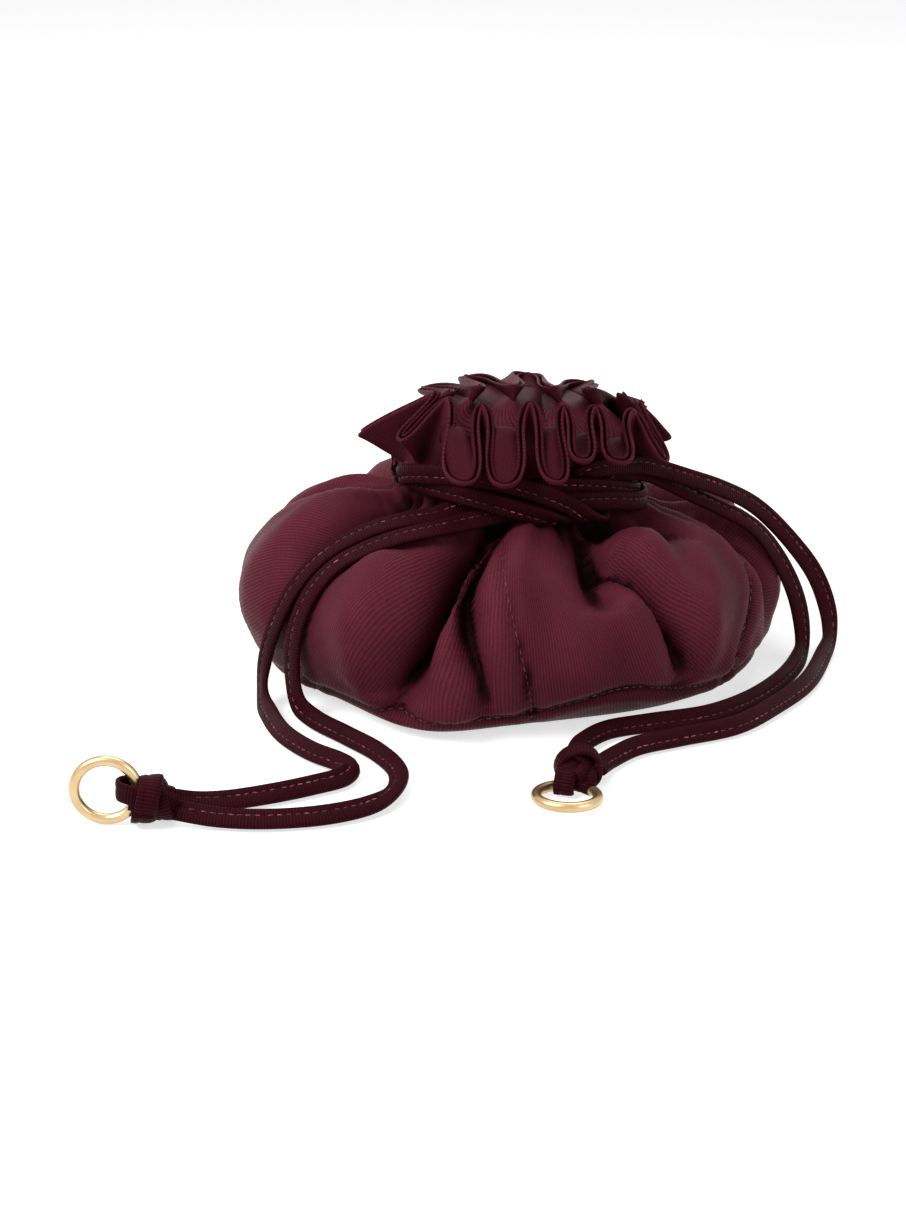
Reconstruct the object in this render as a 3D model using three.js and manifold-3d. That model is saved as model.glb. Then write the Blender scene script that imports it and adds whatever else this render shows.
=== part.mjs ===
// Kinchaku drawstring pouch: a lined satin bag gathered at the neck by two flat drawstrings.
// Millimetres, +Z up, front of the pouch towards -Y. The origin is the middle of the base.
import * as THREE from 'three';
import { mergeVertices } from 'three/addons/utils/BufferGeometryUtils.js';
import Module from 'manifold-3d';

const wasm = await Module();
wasm.setup();

// Pouch body, measured on the outer cloth
const BASE_RADIUS = 67;
const BODY_RADIUS = 82;
const BULGE_HEIGHT = 16;
const SHOULDER_RADIUS = 62;
const SHOULDER_HEIGHT = 45;
const NECK_RADIUS = 37.5;
const NECK_HEIGHT = 50.8;
const FRILL_HEIGHT = 18;
const FRILL_FLARE = 9;

// How much narrower each level is from front to back than from side to side
const BODY_FLATNESS = 7;
const NECK_FLATNESS = 11.5;
const NECK_SHIFT = 3;

// Folds of the gathered cloth
const BODY_FOLDS = 8;
const BODY_FOLD_DEPTH = 1.6;
const BODY_FOLD_START = 5;
const FRILL_FOLDS = 13;
const FRILL_FOLD_START = 6;
const FRILL_FOLD_DEPTH = 4.5;
const FRILL_FOLD_DROP = 6;

// Cloth, straps and rings
const COVER_THICKNESS = 0.8;
const LINING_THICKNESS = 0.6;
const STRAP_WIDTH = 5.8;
const STRAP_THICKNESS = 1.8;
const RING_DIAMETER = 20;
const RING_WIRE = 3;
const RING_LIFT = 0.1;
const CLEAR = 0.35;
const KNOT_CLEAR = 0.55;

// The channel holds one drawstring above the other
const LANE_PITCH = STRAP_WIDTH + CLEAR;
const CHANNEL_HEIGHT = 2 * LANE_PITCH + 2 * CLEAR;
const CHANNEL_DEPTH = STRAP_THICKNESS + 3 * CLEAR;
const LOWER_LANE = NECK_HEIGHT + 2 * CLEAR + STRAP_WIDTH / 2;
const UPPER_LANE = LOWER_LANE + LANE_PITCH;
const SLIT_LENGTH = 10;
const SLIT_HEIGHT = STRAP_WIDTH + 2 * CLEAR;
const LOOP_END_GAP = 4.2;

// The ring turns in the loop of its knot
const RING_RADIUS = (RING_DIAMETER - RING_WIRE) / 2;
const LEFT_RING_AT = [-109.6, -127.8];
const LEFT_RING_SWING = [-35, 35];
const RIGHT_RING_AT = [14.4, -114.7];
const RIGHT_RING_GRIP = 70;
const RIGHT_RING_TILT = 4;
const RIGHT_RING_SWING = [0, 60];
const LEFT_KNOT_AT = [-99.4, -125.4, 7.6];
const LEFT_KNOT_HALF_SIZES = [7, 6.4, 7.5];
const RIGHT_KNOT_AT = [18, -105.6, 6.4];
const RIGHT_KNOT_HALF_SIZES = [8.2, 6.2, 6.2];

// How finely curves are divided
const ROUND_SEGMENTS = 52;
const BODY_STEPS = 7;
const LOOP_STEPS = 40;
const STRAP_STEP = 5;
const RING_STEPS = [12, 36];
const SWEEP_STEPS = [8, 28];
const KNOT_STEPS = [18, 12];

const RIM_HEIGHT = NECK_HEIGHT + CHANNEL_HEIGHT + FRILL_HEIGHT;

const COLOURS = {
  satin: { color: 0x5a1f30, roughness: 0.5, metalness: 0 },
  lining: { color: 0x4a1926, roughness: 0.6, metalness: 0 },
  strap: { color: 0x561c2d, roughness: 0.55, metalness: 0 },
  brass: { color: 0xc9a15a, roughness: 0.32, metalness: 1 },
};

const { degToRad, smoothstep, lerp } = THREE.MathUtils;

// Turns a round bag of radius r and height z into the oval, gathered one. The level is the height
// on the outer cloth that the point belongs to, so all layers of cloth fold alike.
function bagPoint(r, angle, z, level = z) {
  const upper = smoothstep(level, SHOULDER_HEIGHT, NECK_HEIGHT);
  const flatness = lerp(BODY_FLATNESS, NECK_FLATNESS, upper) * smoothstep(r, 0, 0.8 * NECK_RADIUS);
  const body = smoothstep(level, BODY_FOLD_START, BULGE_HEIGHT) * (1 - upper);
  const frill = smoothstep(level, NECK_HEIGHT + CHANNEL_HEIGHT + FRILL_FOLD_START, RIM_HEIGHT);
  const frillWave = Math.cos(FRILL_FOLDS * angle) * frill;
  const fold = BODY_FOLD_DEPTH * Math.cos(BODY_FOLDS * angle) * body + FRILL_FOLD_DEPTH * frillWave;
  return new THREE.Vector3(
    NECK_SHIFT * upper + (r + fold) * Math.cos(angle),
    (r + fold - flatness) * Math.sin(angle),
    z - FRILL_FOLD_DROP * frillWave,
  );
}

// Section of the outer cloth, from the middle of the base to the rim of the frill
function bagProfile() {
  const channelTop = NECK_HEIGHT + CHANNEL_HEIGHT;
  const side = new THREE.SplineCurve([
    new THREE.Vector2(BASE_RADIUS, 0),
    new THREE.Vector2(BODY_RADIUS - 2, 6),
    new THREE.Vector2(BODY_RADIUS, BULGE_HEIGHT),
    new THREE.Vector2(lerp(BODY_RADIUS, SHOULDER_RADIUS, 0.35), lerp(BULGE_HEIGHT, SHOULDER_HEIGHT, 0.62)),
    new THREE.Vector2(SHOULDER_RADIUS, SHOULDER_HEIGHT),
    new THREE.Vector2(NECK_RADIUS + 5, NECK_HEIGHT - 0.6),
  ]).getPoints(BODY_STEPS);
  return [
    new THREE.Vector2(0, 0),
    ...side,
    new THREE.Vector2(NECK_RADIUS, NECK_HEIGHT),
    new THREE.Vector2(NECK_RADIUS, channelTop),
    new THREE.Vector2(NECK_RADIUS + 0.02 * FRILL_FLARE, channelTop + 0.35 * FRILL_HEIGHT),
    new THREE.Vector2(NECK_RADIUS + 0.4 * FRILL_FLARE, channelTop + 0.7 * FRILL_HEIGHT),
    new THREE.Vector2(NECK_RADIUS + FRILL_FLARE, RIM_HEIGHT),
  ];
}

// The same section moved towards the inside of the bag, and further inside along the channel
function inset(profile, distance, atChannel = 0) {
  return profile.map((point, index) => {
    const before = profile[Math.max(index - 1, 0)];
    const after = profile[Math.min(index + 1, profile.length - 1)];
    const along = after.clone().sub(before).normalize();
    const alongChannel = point.x === NECK_RADIUS;
    const depth = distance + (alongChannel ? atChannel : 0);
    const x = index === 0 ? 0 : point.x - along.y * depth;
    return new THREE.Vector2(x, point.y + (index === 0 ? 1 : along.x) * depth);
  });
}

function clothShell(profile, outside, inside) {
  const outline = [...outside, ...inside.slice().reverse()];
  const levels = [...profile, ...profile.slice().reverse()].map((point) => point.y);
  const geometry = new THREE.LatheGeometry(outline, ROUND_SEGMENTS);
  geometry.setIndex(shellFaces(outline.length, profile.length));
  const position = geometry.attributes.position;
  for (let index = 0; index < position.count; index += 1) {
    const [x, z, y] = [position.getX(index), position.getY(index), -position.getZ(index)];
    const level = levels[index % levels.length];
    const moved = bagPoint(Math.hypot(x, y), Math.atan2(y, x), z, level);
    position.setXYZ(index, moved.x, moved.y, moved.z);
  }
  return welded(geometry);
}

// Splits each four-sided patch of a shell the same way outside and inside, so folds stay even
function shellFaces(rows, outsideRows) {
  const faces = [];
  for (let segment = 0; segment < ROUND_SEGMENTS; segment += 1) {
    for (let row = 0; row < rows - 1; row += 1) {
      const a = row + segment * rows;
      const [b, c, d] = [a + rows, a + rows + 1, a + 1];
      faces.push(...(row < outsideRows ? [a, b, d, c, d, b] : [a, b, c, a, c, d]));
    }
  }
  return faces;
}

function welded(geometry) {
  geometry.deleteAttribute('normal');
  geometry.deleteAttribute('uv');
  return mergeVertices(geometry, 1e-4);
}

function toSolid(geometry) {
  const merged = welded(geometry.clone());
  return new wasm.Manifold(new wasm.Mesh({
    numProp: 3,
    vertProperties: new Float32Array(merged.attributes.position.array),
    triVerts: new Uint32Array(merged.index.array),
  }));
}

function toGeometry(solid) {
  const mesh = solid.getMesh();
  const geometry = new THREE.BufferGeometry();
  geometry.setAttribute('position', new THREE.BufferAttribute(mesh.vertProperties, 3));
  geometry.setIndex(new THREE.BufferAttribute(mesh.triVerts, 1));
  return geometry;
}

function cut(geometry, tools) {
  return toGeometry(tools.reduce((solid, tool) => solid.subtract(toSolid(tool)), toSolid(geometry)));
}

function slit(side, laneHeight) {
  const x = NECK_SHIFT + side * NECK_RADIUS;
  return new THREE.BoxGeometry(8, SLIT_LENGTH, SLIT_HEIGHT).translate(x, -SLIT_LENGTH / 4, laneHeight);
}

// A curve that also carries the direction its strap faces
class StrapPath extends THREE.CatmullRomCurve3 {
  constructor(points, facings) {
    super(points, false, 'centripetal');
    this.facings = facings;
  }

  facingAt(u) {
    const t = this.getUtoTmapping(u, null) * (this.facings.length - 1);
    const index = Math.min(Math.floor(t), this.facings.length - 2);
    return this.facings[index].clone().lerp(this.facings[index + 1], t - index);
  }

  computeFrenetFrames(steps) {
    const frames = { tangents: [], normals: [], binormals: [] };
    for (let step = 0; step <= steps; step += 1) {
      const tangent = this.getTangentAt(step / steps);
      const across = new THREE.Vector3().crossVectors(tangent, this.facingAt(step / steps)).normalize();
      frames.tangents.push(tangent);
      frames.normals.push(across);
      frames.binormals.push(new THREE.Vector3().crossVectors(tangent, across));
    }
    return frames;
  }
}

function strapSection() {
  const [x, y, corner] = [STRAP_WIDTH / 2, STRAP_THICKNESS / 2, STRAP_THICKNESS / 3];
  return new THREE.Shape([
    new THREE.Vector2(x, corner - y),
    new THREE.Vector2(x, y - corner),
    new THREE.Vector2(x - corner, y),
    new THREE.Vector2(corner - x, y),
    new THREE.Vector2(-x, y - corner),
    new THREE.Vector2(-x, corner - y),
    new THREE.Vector2(corner - x, -y),
    new THREE.Vector2(x - corner, -y),
  ]);
}

// Each row of a route is a point of the strap's middle line and the way its face looks there
function strap(route) {
  const points = route.map(([x, y, z]) => new THREE.Vector3(x, y, z));
  const facings = route.map(([, , , x, y, z]) => new THREE.Vector3(x, y, z).normalize());
  const path = new StrapPath(points, facings);
  const steps = Math.round(path.getLength() / STRAP_STEP);
  return new THREE.ExtrudeGeometry(strapSection(), { steps, bevelEnabled: false, extrudePath: path });
}

// The part of a drawstring inside the channel: once round the neck, from its slit back to it
function channelLoop(slitAngle, laneHeight) {
  const radius = NECK_RADIUS - COVER_THICKNESS - CHANNEL_DEPTH / 2;
  const gap = LOOP_END_GAP / radius;
  const route = [];
  for (let step = 0; step <= LOOP_STEPS; step += 1) {
    const angle = slitAngle + gap + (2 * Math.PI - 2 * gap) * (step / LOOP_STEPS);
    const point = bagPoint(radius, angle, laneHeight);
    route.push([point.x, point.y, point.z, Math.cos(angle), Math.sin(angle), 0]);
  }
  return strap(route);
}

// Drawstring A: out of the left slit, over and round B at the front of the neck, then to the right
const STRAND_A1 = [
  [-34.9, -1, 60.2, -1, -0.1, 0],
  [-33.9, -11.2, 60.3, -0.8, -0.6, 0],
  [-26.8, -20.2, 60.4, -0.6, -0.8, 0],
  [-18, -28.9, 61, -0.45, -0.9, 0.1],
  [-8, -34, 59.8, -0.3, -1, 0.1],
  [1, -35.9, 57.8, 0, -1, 0],
  [8, -35.9, 55.6, 0.1, -1, -0.2],
  [13, -34.4, 53.8, 0.1, -0.8, -0.7],
  [16.4, -31, 52.9, 0, 0, -1],
  [18, -27.4, 54.2, 0, 0.9, -0.5],
  [18.9, -25.6, 58, 0, 1, 0],
  [19.6, -25.4, 62.3, -0.2, 1, 0],
  [22, -25.9, 65.4, -0.4, 1, 0],
  [27, -24.6, 66.6, -0.6, 1, 0],
  [33, -21.2, 66.2, -0.8, 0.8, 0],
  [39.4, -16.2, 64.8, -0.8, 0.7, -0.3],
  [45.8, -13, 62.2, -0.6, 0.7, -0.5],
  [52.5, -11.4, 59.6, -0.5, 0.7, -0.6],
  [64.9, -6.4, 53.8, -0.45, 0.7, -0.65],
  [75.8, -1, 46.2, -0.45, 0.75, -0.5],
  [86.8, 1, 34.6, -0.5, 0.8, -0.3],
  [94.9, 1.5, 23.1, -0.4, 0.9, -0.15],
  [99, 0, 12, -0.4, 0.9, 0],
  [99.3, -4, 5, -0.6, 0.7, -0.3],
  [96.2, -14, 3.1, -0.6, 0.4, -0.6],
  [88.8, -35.5, 3, -0.5, 0.5, -0.7],
  [78.6, -51.5, 3, -0.4, 0.6, -0.7],
  [64.8, -67.6, 3, -0.4, 0.7, -0.7],
  [48.1, -76, 3, -0.2, 0.7, -0.7],
  [35.4, -82.5, 3, -0.4, 0.6, -0.7],
  [27.6, -91.2, 3, -0.6, 0.3, -0.7],
  [23.7, -100.2, 4.5, -0.7, 0.1, -0.7],
];
const STRAND_A2 = [
  [-37.2, -1.5, 60.2, -1, -0.1, 0],
  [-36.4, -12.8, 61.4, -0.85, -0.5, 0],
  [-30.2, -21.6, 63.8, -0.7, -0.7, 0],
  [-21, -28.8, 66, -0.5, -0.9, 0],
  [-10.5, -33.4, 66.6, -0.3, -1, 0],
  [0, -35.4, 65.2, 0, -1, 0],
  [9.5, -36, 62.4, 0.1, -1, 0],
  [17.5, -35, 58.6, 0.1, -1, -0.2],
  [23, -34, 54.6, 0.1, -0.8, -0.7],
  [26, -29.4, 52.8, 0, 0, -1],
  [26.9, -25, 53.3, 0, 0.9, -0.5],
  [27.2, -22.2, 57, -0.4, 1, 0],
  [28.9, -21.2, 60.8, -0.6, 0.9, 0],
  [33.6, -17.6, 62.8, -0.8, 0.8, 0],
  [39.7, -13.4, 61.9, -0.8, 0.7, -0.3],
  [46.2, -11.6, 58.6, -0.6, 0.7, -0.6],
  [53.4, -10.2, 54.3, -0.4, 0.6, -0.8],
  [64.6, -8.6, 48.2, -0.45, 0.5, -0.8],
  [74.4, -7.4, 42.1, -0.6, 0.6, -0.6],
  [82.2, -5.2, 31.7, -0.6, 0.75, -0.3],
  [88, -5, 19.6, -0.5, 0.85, -0.1],
  [90.2, -6, 10.4, -0.5, 0.85, 0],
  [90.2, -10, 4.6, -0.6, 0.7, -0.3],
  [87.4, -19.7, 3, -0.6, 0.4, -0.7],
  [80.4, -35, 3, -0.5, 0.5, -0.7],
  [69.6, -49.8, 3, -0.4, 0.6, -0.7],
  [57, -60, 3, -0.3, 0.7, -0.7],
  [40.1, -66, 3, -0.1, 0.75, -0.7],
  [27.6, -71.2, 3, -0.5, 0.5, -0.7],
  [20.2, -81, 3.4, -0.8, 0.1, -0.6],
  [17.4, -92, 5, -0.8, 0, -0.6],
  [17, -98.6, 6.1, -0.8, 0, -0.6],
];

// Drawstring B: out of the right slit, through A's turn and down the left side of the pouch
const STRAND_B1 = [
  [40.9, -1, 54, 1, -0.1, 0],
  [39.9, -12.2, 55.2, 0.9, -0.5, 0],
  [35.6, -19.3, 57.4, 0.7, -0.7, 0],
  [29, -25, 60.2, 0.6, -0.8, 0],
  [20.5, -28.8, 62, 0.3, -1, 0],
  [11.5, -30.4, 62.6, 0.1, -1, 0],
  [3, -29.4, 61.2, 0, -1, 0],
  [-6, -27.9, 59, -0.2, -1, 0.1],
  [-14, -28, 55.8, -0.3, -1, 0.3],
  [-22, -31.6, 54.2, -0.2, -0.7, 0.7],
  [-32.2, -34.6, 53.6, -0.2, -0.5, 0.9],
  [-41.3, -36.6, 51.4, -0.3, -0.5, 0.8],
  [-49.9, -37.8, 47.4, -0.5, -0.5, 0.7],
  [-56.8, -39.8, 42.6, -0.6, -0.5, 0.6],
  [-62.4, -41.4, 36.3, -0.7, -0.6, 0.4],
  [-67, -42.8, 28.5, -0.75, -0.6, 0.2],
  [-70.8, -43.6, 18.6, -0.8, -0.6, 0],
  [-72.6, -45, 9.6, -0.8, -0.5, 0],
  [-72.4, -50.4, 4, -0.8, -0.2, 0.4],
  [-70.2, -59, 3, -0.6, -0.3, 0.7],
  [-65.2, -73.6, 3, -0.6, -0.4, 0.7],
  [-56.6, -86.2, 3, -0.5, -0.5, 0.7],
  [-48.6, -93.4, 3, -0.5, -0.5, 0.7],
  [-45.2, -98, 3, 0.4, -0.5, 0.7],
  [-47, -103.6, 3, 0.6, -0.4, 0.7],
  [-55, -109, 3, 0.3, -0.6, 0.7],
  [-66, -114.6, 3, 0.3, -0.6, 0.7],
  [-78, -119, 3, 0.2, -0.6, 0.7],
  [-86, -120.6, 3.4, 0.2, -0.6, 0.7],
  [-92.6, -121.8, 4.8, 0.1, -0.6, 0.7],
];
const STRAND_B2 = [
  [43.2, -1.5, 54, 1, -0.1, 0],
  [42.2, -13.6, 54, 0.9, -0.5, 0],
  [37.6, -21.4, 55.2, 0.7, -0.7, 0],
  [30.4, -27.3, 57.4, 0.6, -0.8, 0],
  [21.4, -31, 58.4, 0.3, -1, 0],
  [12, -32.7, 58.5, 0.1, -1, 0],
  [3.5, -32.8, 57.2, 0, -1, 0],
  [-4.5, -31.6, 54.4, -0.1, -1, 0.3],
  [-12.5, -33.6, 53, -0.1, -0.8, 0.6],
  [-22, -38.4, 52.4, -0.1, -0.5, 0.85],
  [-32.4, -40.6, 50.6, -0.2, -0.5, 0.85],
  [-42.8, -42.2, 47.2, -0.35, -0.5, 0.8],
  [-50.8, -44.6, 43.2, -0.5, -0.5, 0.7],
  [-56.6, -47.2, 37.8, -0.5, -0.6, 0.6],
  [-60.8, -49.8, 30.6, -0.6, -0.7, 0.3],
  [-63, -51.8, 21.9, -0.7, -0.7, 0.1],
  [-63.4, -54.4, 12.5, -0.7, -0.7, 0],
  [-61.4, -58.4, 5.4, -0.6, -0.6, 0.4],
  [-56.8, -63.4, 3.1, -0.5, -0.5, 0.7],
  [-47.6, -74.6, 3, -0.5, -0.4, 0.7],
  [-37.6, -87.4, 3, -0.6, -0.3, 0.7],
  [-32, -100.4, 3, -0.4, 0, 0.8],
  [-32.6, -111.6, 3, -0.2, 0.1, 0.8],
  [-38.4, -121.4, 3, 0.2, -0.4, 0.8],
  [-50, -128, 3, 0.2, -0.6, 0.7],
  [-66, -131, 3, 0, -0.6, 0.7],
  [-80, -130.2, 3.2, 0, -0.6, 0.7],
  [-92.8, -127.6, 4.4, -0.1, -0.6, 0.7],
];

function ring() {
  return new THREE.TorusGeometry(RING_RADIUS, RING_WIRE / 2, ...RING_STEPS);
}

// Places a shape whose ring lies in XY, held at +X, as the left ring stands: upright, held at its right
function placeLeft(geometry, swing = 0) {
  return geometry
    .rotateX(Math.PI / 2)
    .translate(-RING_RADIUS, 0, 0)
    .rotateZ(degToRad(swing))
    .translate(LEFT_RING_AT[0] + RING_RADIUS, LEFT_RING_AT[1], RING_DIAMETER / 2 + RING_LIFT);
}

// The right ring lies down, its front a little raised by the strap, held at its back
function placeRight(geometry, swing = 0) {
  return geometry
    .translate(-RING_RADIUS, 0, 0)
    .rotateY(degToRad(RIGHT_RING_TILT + swing))
    .rotateZ(degToRad(RIGHT_RING_GRIP))
    .translate(
      RIGHT_RING_AT[0] + RING_RADIUS * Math.cos(degToRad(RIGHT_RING_GRIP)),
      RIGHT_RING_AT[1] + RING_RADIUS * Math.sin(degToRad(RIGHT_RING_GRIP)),
      RING_WIRE / 2 + RING_LIFT,
    );
}

// A rounded knot with the room that its ring sweeps cut out of it
function knot(centre, halfSizes, place, [lowest, highest]) {
  const bulk = new THREE.SphereGeometry(1, ...KNOT_STEPS).scale(...halfSizes).translate(...centre);
  const swings = [0, 0.25, 0.5, 0.75, 1].map((share) => lerp(lowest, highest, share));
  const sweeps = swings.map((swing) => {
    const room = new THREE.TorusGeometry(RING_RADIUS, RING_WIRE / 2 + KNOT_CLEAR, ...SWEEP_STEPS);
    return place(room, swing);
  });
  return cut(bulk, sweeps);
}

function named(name, geometry, look) {
  const mesh = new THREE.Mesh(geometry, new THREE.MeshStandardMaterial(COLOURS[look]));
  mesh.name = name;
  return mesh;
}

const profile = bagProfile();
const liningGap = COVER_THICKNESS + CLEAR;
const cover = cut(clothShell(profile, profile, inset(profile, COVER_THICKNESS)), [
  slit(-1, UPPER_LANE),
  slit(1, LOWER_LANE),
]);
const lining = clothShell(
  profile,
  inset(profile, liningGap, CHANNEL_DEPTH - CLEAR),
  inset(profile, liningGap + LINING_THICKNESS, CHANNEL_DEPTH - CLEAR),
);
const rightKnot = knot(RIGHT_KNOT_AT, RIGHT_KNOT_HALF_SIZES, placeRight, RIGHT_RING_SWING);
const leftKnot = knot(LEFT_KNOT_AT, LEFT_KNOT_HALF_SIZES, placeLeft, LEFT_RING_SWING);

const pouch = new THREE.Group();
pouch.add(
  named('outer_cover', cover, 'satin'),
  named('lining', lining, 'lining'),
  named('drawstring_a_channel', channelLoop(Math.PI, UPPER_LANE), 'strap'),
  named('drawstring_a_strand_1', strap(STRAND_A1), 'strap'),
  named('drawstring_a_strand_2', strap(STRAND_A2), 'strap'),
  named('drawstring_a_knot', rightKnot, 'strap'),
  named('ring_a', placeRight(ring()), 'brass'),
  named('drawstring_b_channel', channelLoop(0, LOWER_LANE), 'strap'),
  named('drawstring_b_strand_1', strap(STRAND_B1), 'strap'),
  named('drawstring_b_strand_2', strap(STRAND_B2), 'strap'),
  named('drawstring_b_knot', leftKnot, 'strap'),
  named('ring_b', placeLeft(ring()), 'brass'),
);

export default pouch;
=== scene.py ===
# %% [markdown]
# # A satin drawstring pouch
# The pouch is one big round of satin twill and one of lining, stitched together in rays and rings,
# gathered by two flat drawstrings into a squat body, a neck and a frill. Each drawstring ends in a
# knot round a small brass ring. This lesson builds the looks over a fixed frame of plain solids.
# The camera and the straps come first, because everything else has to fit between them.

# %% Tools and the frame
import math

import bmesh
import bpy
import numpy as np
from mathutils import Matrix, Vector, noise


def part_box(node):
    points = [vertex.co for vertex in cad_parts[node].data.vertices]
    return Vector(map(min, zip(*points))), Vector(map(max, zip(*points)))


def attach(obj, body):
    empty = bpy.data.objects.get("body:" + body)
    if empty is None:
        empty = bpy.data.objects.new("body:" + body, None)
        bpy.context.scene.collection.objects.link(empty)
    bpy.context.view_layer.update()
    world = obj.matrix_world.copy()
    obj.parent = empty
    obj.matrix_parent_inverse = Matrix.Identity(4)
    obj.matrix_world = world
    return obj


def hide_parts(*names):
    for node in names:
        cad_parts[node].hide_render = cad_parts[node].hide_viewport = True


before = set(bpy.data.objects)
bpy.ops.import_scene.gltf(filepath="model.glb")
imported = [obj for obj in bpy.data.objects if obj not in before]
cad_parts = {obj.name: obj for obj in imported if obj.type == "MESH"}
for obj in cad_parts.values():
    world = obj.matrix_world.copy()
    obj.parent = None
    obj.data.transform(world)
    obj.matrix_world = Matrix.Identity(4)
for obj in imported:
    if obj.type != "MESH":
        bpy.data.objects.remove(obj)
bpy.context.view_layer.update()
scene = bpy.context.scene

# %% [markdown]
# ## Camera
# The pouch is seen from the front and a little above, at 21 degrees, with a long lens so that its
# sides stay upright. The numbers put the middle of its base at a chosen place in a tall picture.

# %% Camera
camera_data = bpy.data.cameras.new("camera")
camera_data.lens = 86.53
camera = bpy.data.objects.new("camera", camera_data)
camera.location = (-0.0167, -0.8354, 0.3350)
camera.rotation_euler = (math.radians(69), 0, 0)
scene.collection.objects.link(camera)
scene.camera = camera
print("camera looks down by", 90 - math.degrees(camera.rotation_euler.x), "degrees")

# %% [markdown]
# ## Routes of the straps
# A strap is flat, so each point of its route also says which way its face looks there. The routes
# are listed: out of the slit in the neck, round the other strap, over the shoulder and along the
# table. The smooth curve through the points is a Catmull-Rom curve with square-root spacing, which
# passes through every point without loops.

# %% Routes: x, y, z and the three parts of the facing direction
ROUTE_A1 = [
    (-0.0272, -0.0078, 0.06, -0.9, -0.4, 0), (-0.0298, -0.0148, 0.0603, -0.8, -0.6, 0),
    (-0.0268, -0.0202, 0.0604, -0.6, -0.8, 0), (-0.018, -0.0289, 0.061, -0.45, -0.9, 0.1),
    (-0.008, -0.034, 0.0598, -0.3, -1, 0.1), (0.001, -0.0359, 0.0578, 0, -1, 0),
    (0.008, -0.0359, 0.0556, 0.1, -1, -0.2), (0.013, -0.0344, 0.0538, 0.1, -0.8, -0.7),
    (0.0164, -0.031, 0.0529, 0, 0, -1), (0.018, -0.0274, 0.0542, 0, 0.9, -0.5),
    (0.0189, -0.0256, 0.058, 0, 1, 0), (0.0196, -0.0254, 0.0623, -0.2, 1, 0),
    (0.022, -0.0259, 0.0654, -0.4, 1, 0), (0.027, -0.0246, 0.0666, -0.6, 1, 0),
    (0.033, -0.0212, 0.0662, -0.8, 0.8, 0), (0.0394, -0.0162, 0.0648, -0.8, 0.7, -0.3),
    (0.0458, -0.013, 0.0622, -0.6, 0.7, -0.5), (0.0525, -0.0114, 0.0596, -0.5, 0.7, -0.6),
    (0.0649, -0.0064, 0.0538, -0.45, 0.7, -0.65), (0.0758, -0.001, 0.0462, -0.45, 0.75, -0.5),
    (0.0868, 0.001, 0.0346, -0.5, 0.8, -0.3), (0.0949, 0.0015, 0.0231, -0.4, 0.9, -0.15),
    (0.099, 0, 0.012, -0.4, 0.9, 0), (0.0993, -0.004, 0.005, -0.6, 0.7, -0.3),
    (0.0962, -0.014, 0.0031, -0.6, 0.4, -0.6), (0.0888, -0.0355, 0.003, -0.5, 0.5, -0.7),
    (0.0786, -0.0515, 0.003, -0.4, 0.6, -0.7), (0.0648, -0.0676, 0.003, -0.4, 0.7, -0.7),
    (0.0481, -0.076, 0.003, -0.2, 0.7, -0.7), (0.0354, -0.0825, 0.003, -0.4, 0.6, -0.7),
    (0.0276, -0.0912, 0.003, -0.6, 0.3, -0.7), (0.0237, -0.1002, 0.0045, -0.7, 0.1, -0.7),
]
ROUTE_A2 = [
    (-0.0292, -0.0084, 0.06, -0.9, -0.4, 0), (-0.0324, -0.016, 0.0612, -0.85, -0.5, 0),
    (-0.0302, -0.0216, 0.0638, -0.7, -0.7, 0), (-0.021, -0.0288, 0.066, -0.5, -0.9, 0),
    (-0.0105, -0.0334, 0.0666, -0.3, -1, 0), (0, -0.0354, 0.0652, 0, -1, 0),
    (0.0095, -0.036, 0.0624, 0.1, -1, 0), (0.0175, -0.035, 0.0586, 0.1, -1, -0.2),
    (0.023, -0.034, 0.0546, 0.1, -0.8, -0.7), (0.026, -0.0294, 0.0528, 0, 0, -1),
    (0.0269, -0.025, 0.0533, 0, 0.9, -0.5), (0.0272, -0.0222, 0.057, -0.4, 1, 0),
    (0.0289, -0.0212, 0.0608, -0.6, 0.9, 0), (0.0336, -0.0176, 0.0628, -0.8, 0.8, 0),
    (0.0397, -0.0134, 0.0619, -0.8, 0.7, -0.3), (0.0462, -0.0116, 0.0586, -0.6, 0.7, -0.6),
    (0.0534, -0.0102, 0.0543, -0.4, 0.6, -0.8), (0.0646, -0.0086, 0.0482, -0.45, 0.5, -0.8),
    (0.0744, -0.0074, 0.0421, -0.6, 0.6, -0.6), (0.0822, -0.0052, 0.0317, -0.6, 0.75, -0.3),
    (0.088, -0.005, 0.0196, -0.5, 0.85, -0.1), (0.0902, -0.006, 0.0104, -0.5, 0.85, 0),
    (0.0902, -0.01, 0.0046, -0.6, 0.7, -0.3), (0.0874, -0.0197, 0.003, -0.6, 0.4, -0.7),
    (0.0804, -0.035, 0.003, -0.5, 0.5, -0.7), (0.0696, -0.0498, 0.003, -0.4, 0.6, -0.7),
    (0.057, -0.06, 0.003, -0.3, 0.7, -0.7), (0.0401, -0.066, 0.003, -0.1, 0.75, -0.7),
    (0.0276, -0.0712, 0.003, -0.5, 0.5, -0.7), (0.0202, -0.081, 0.0034, -0.8, 0.1, -0.6),
    (0.0174, -0.092, 0.005, -0.8, 0, -0.6), (0.017, -0.0986, 0.0061, -0.8, 0, -0.6),
]
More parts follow.
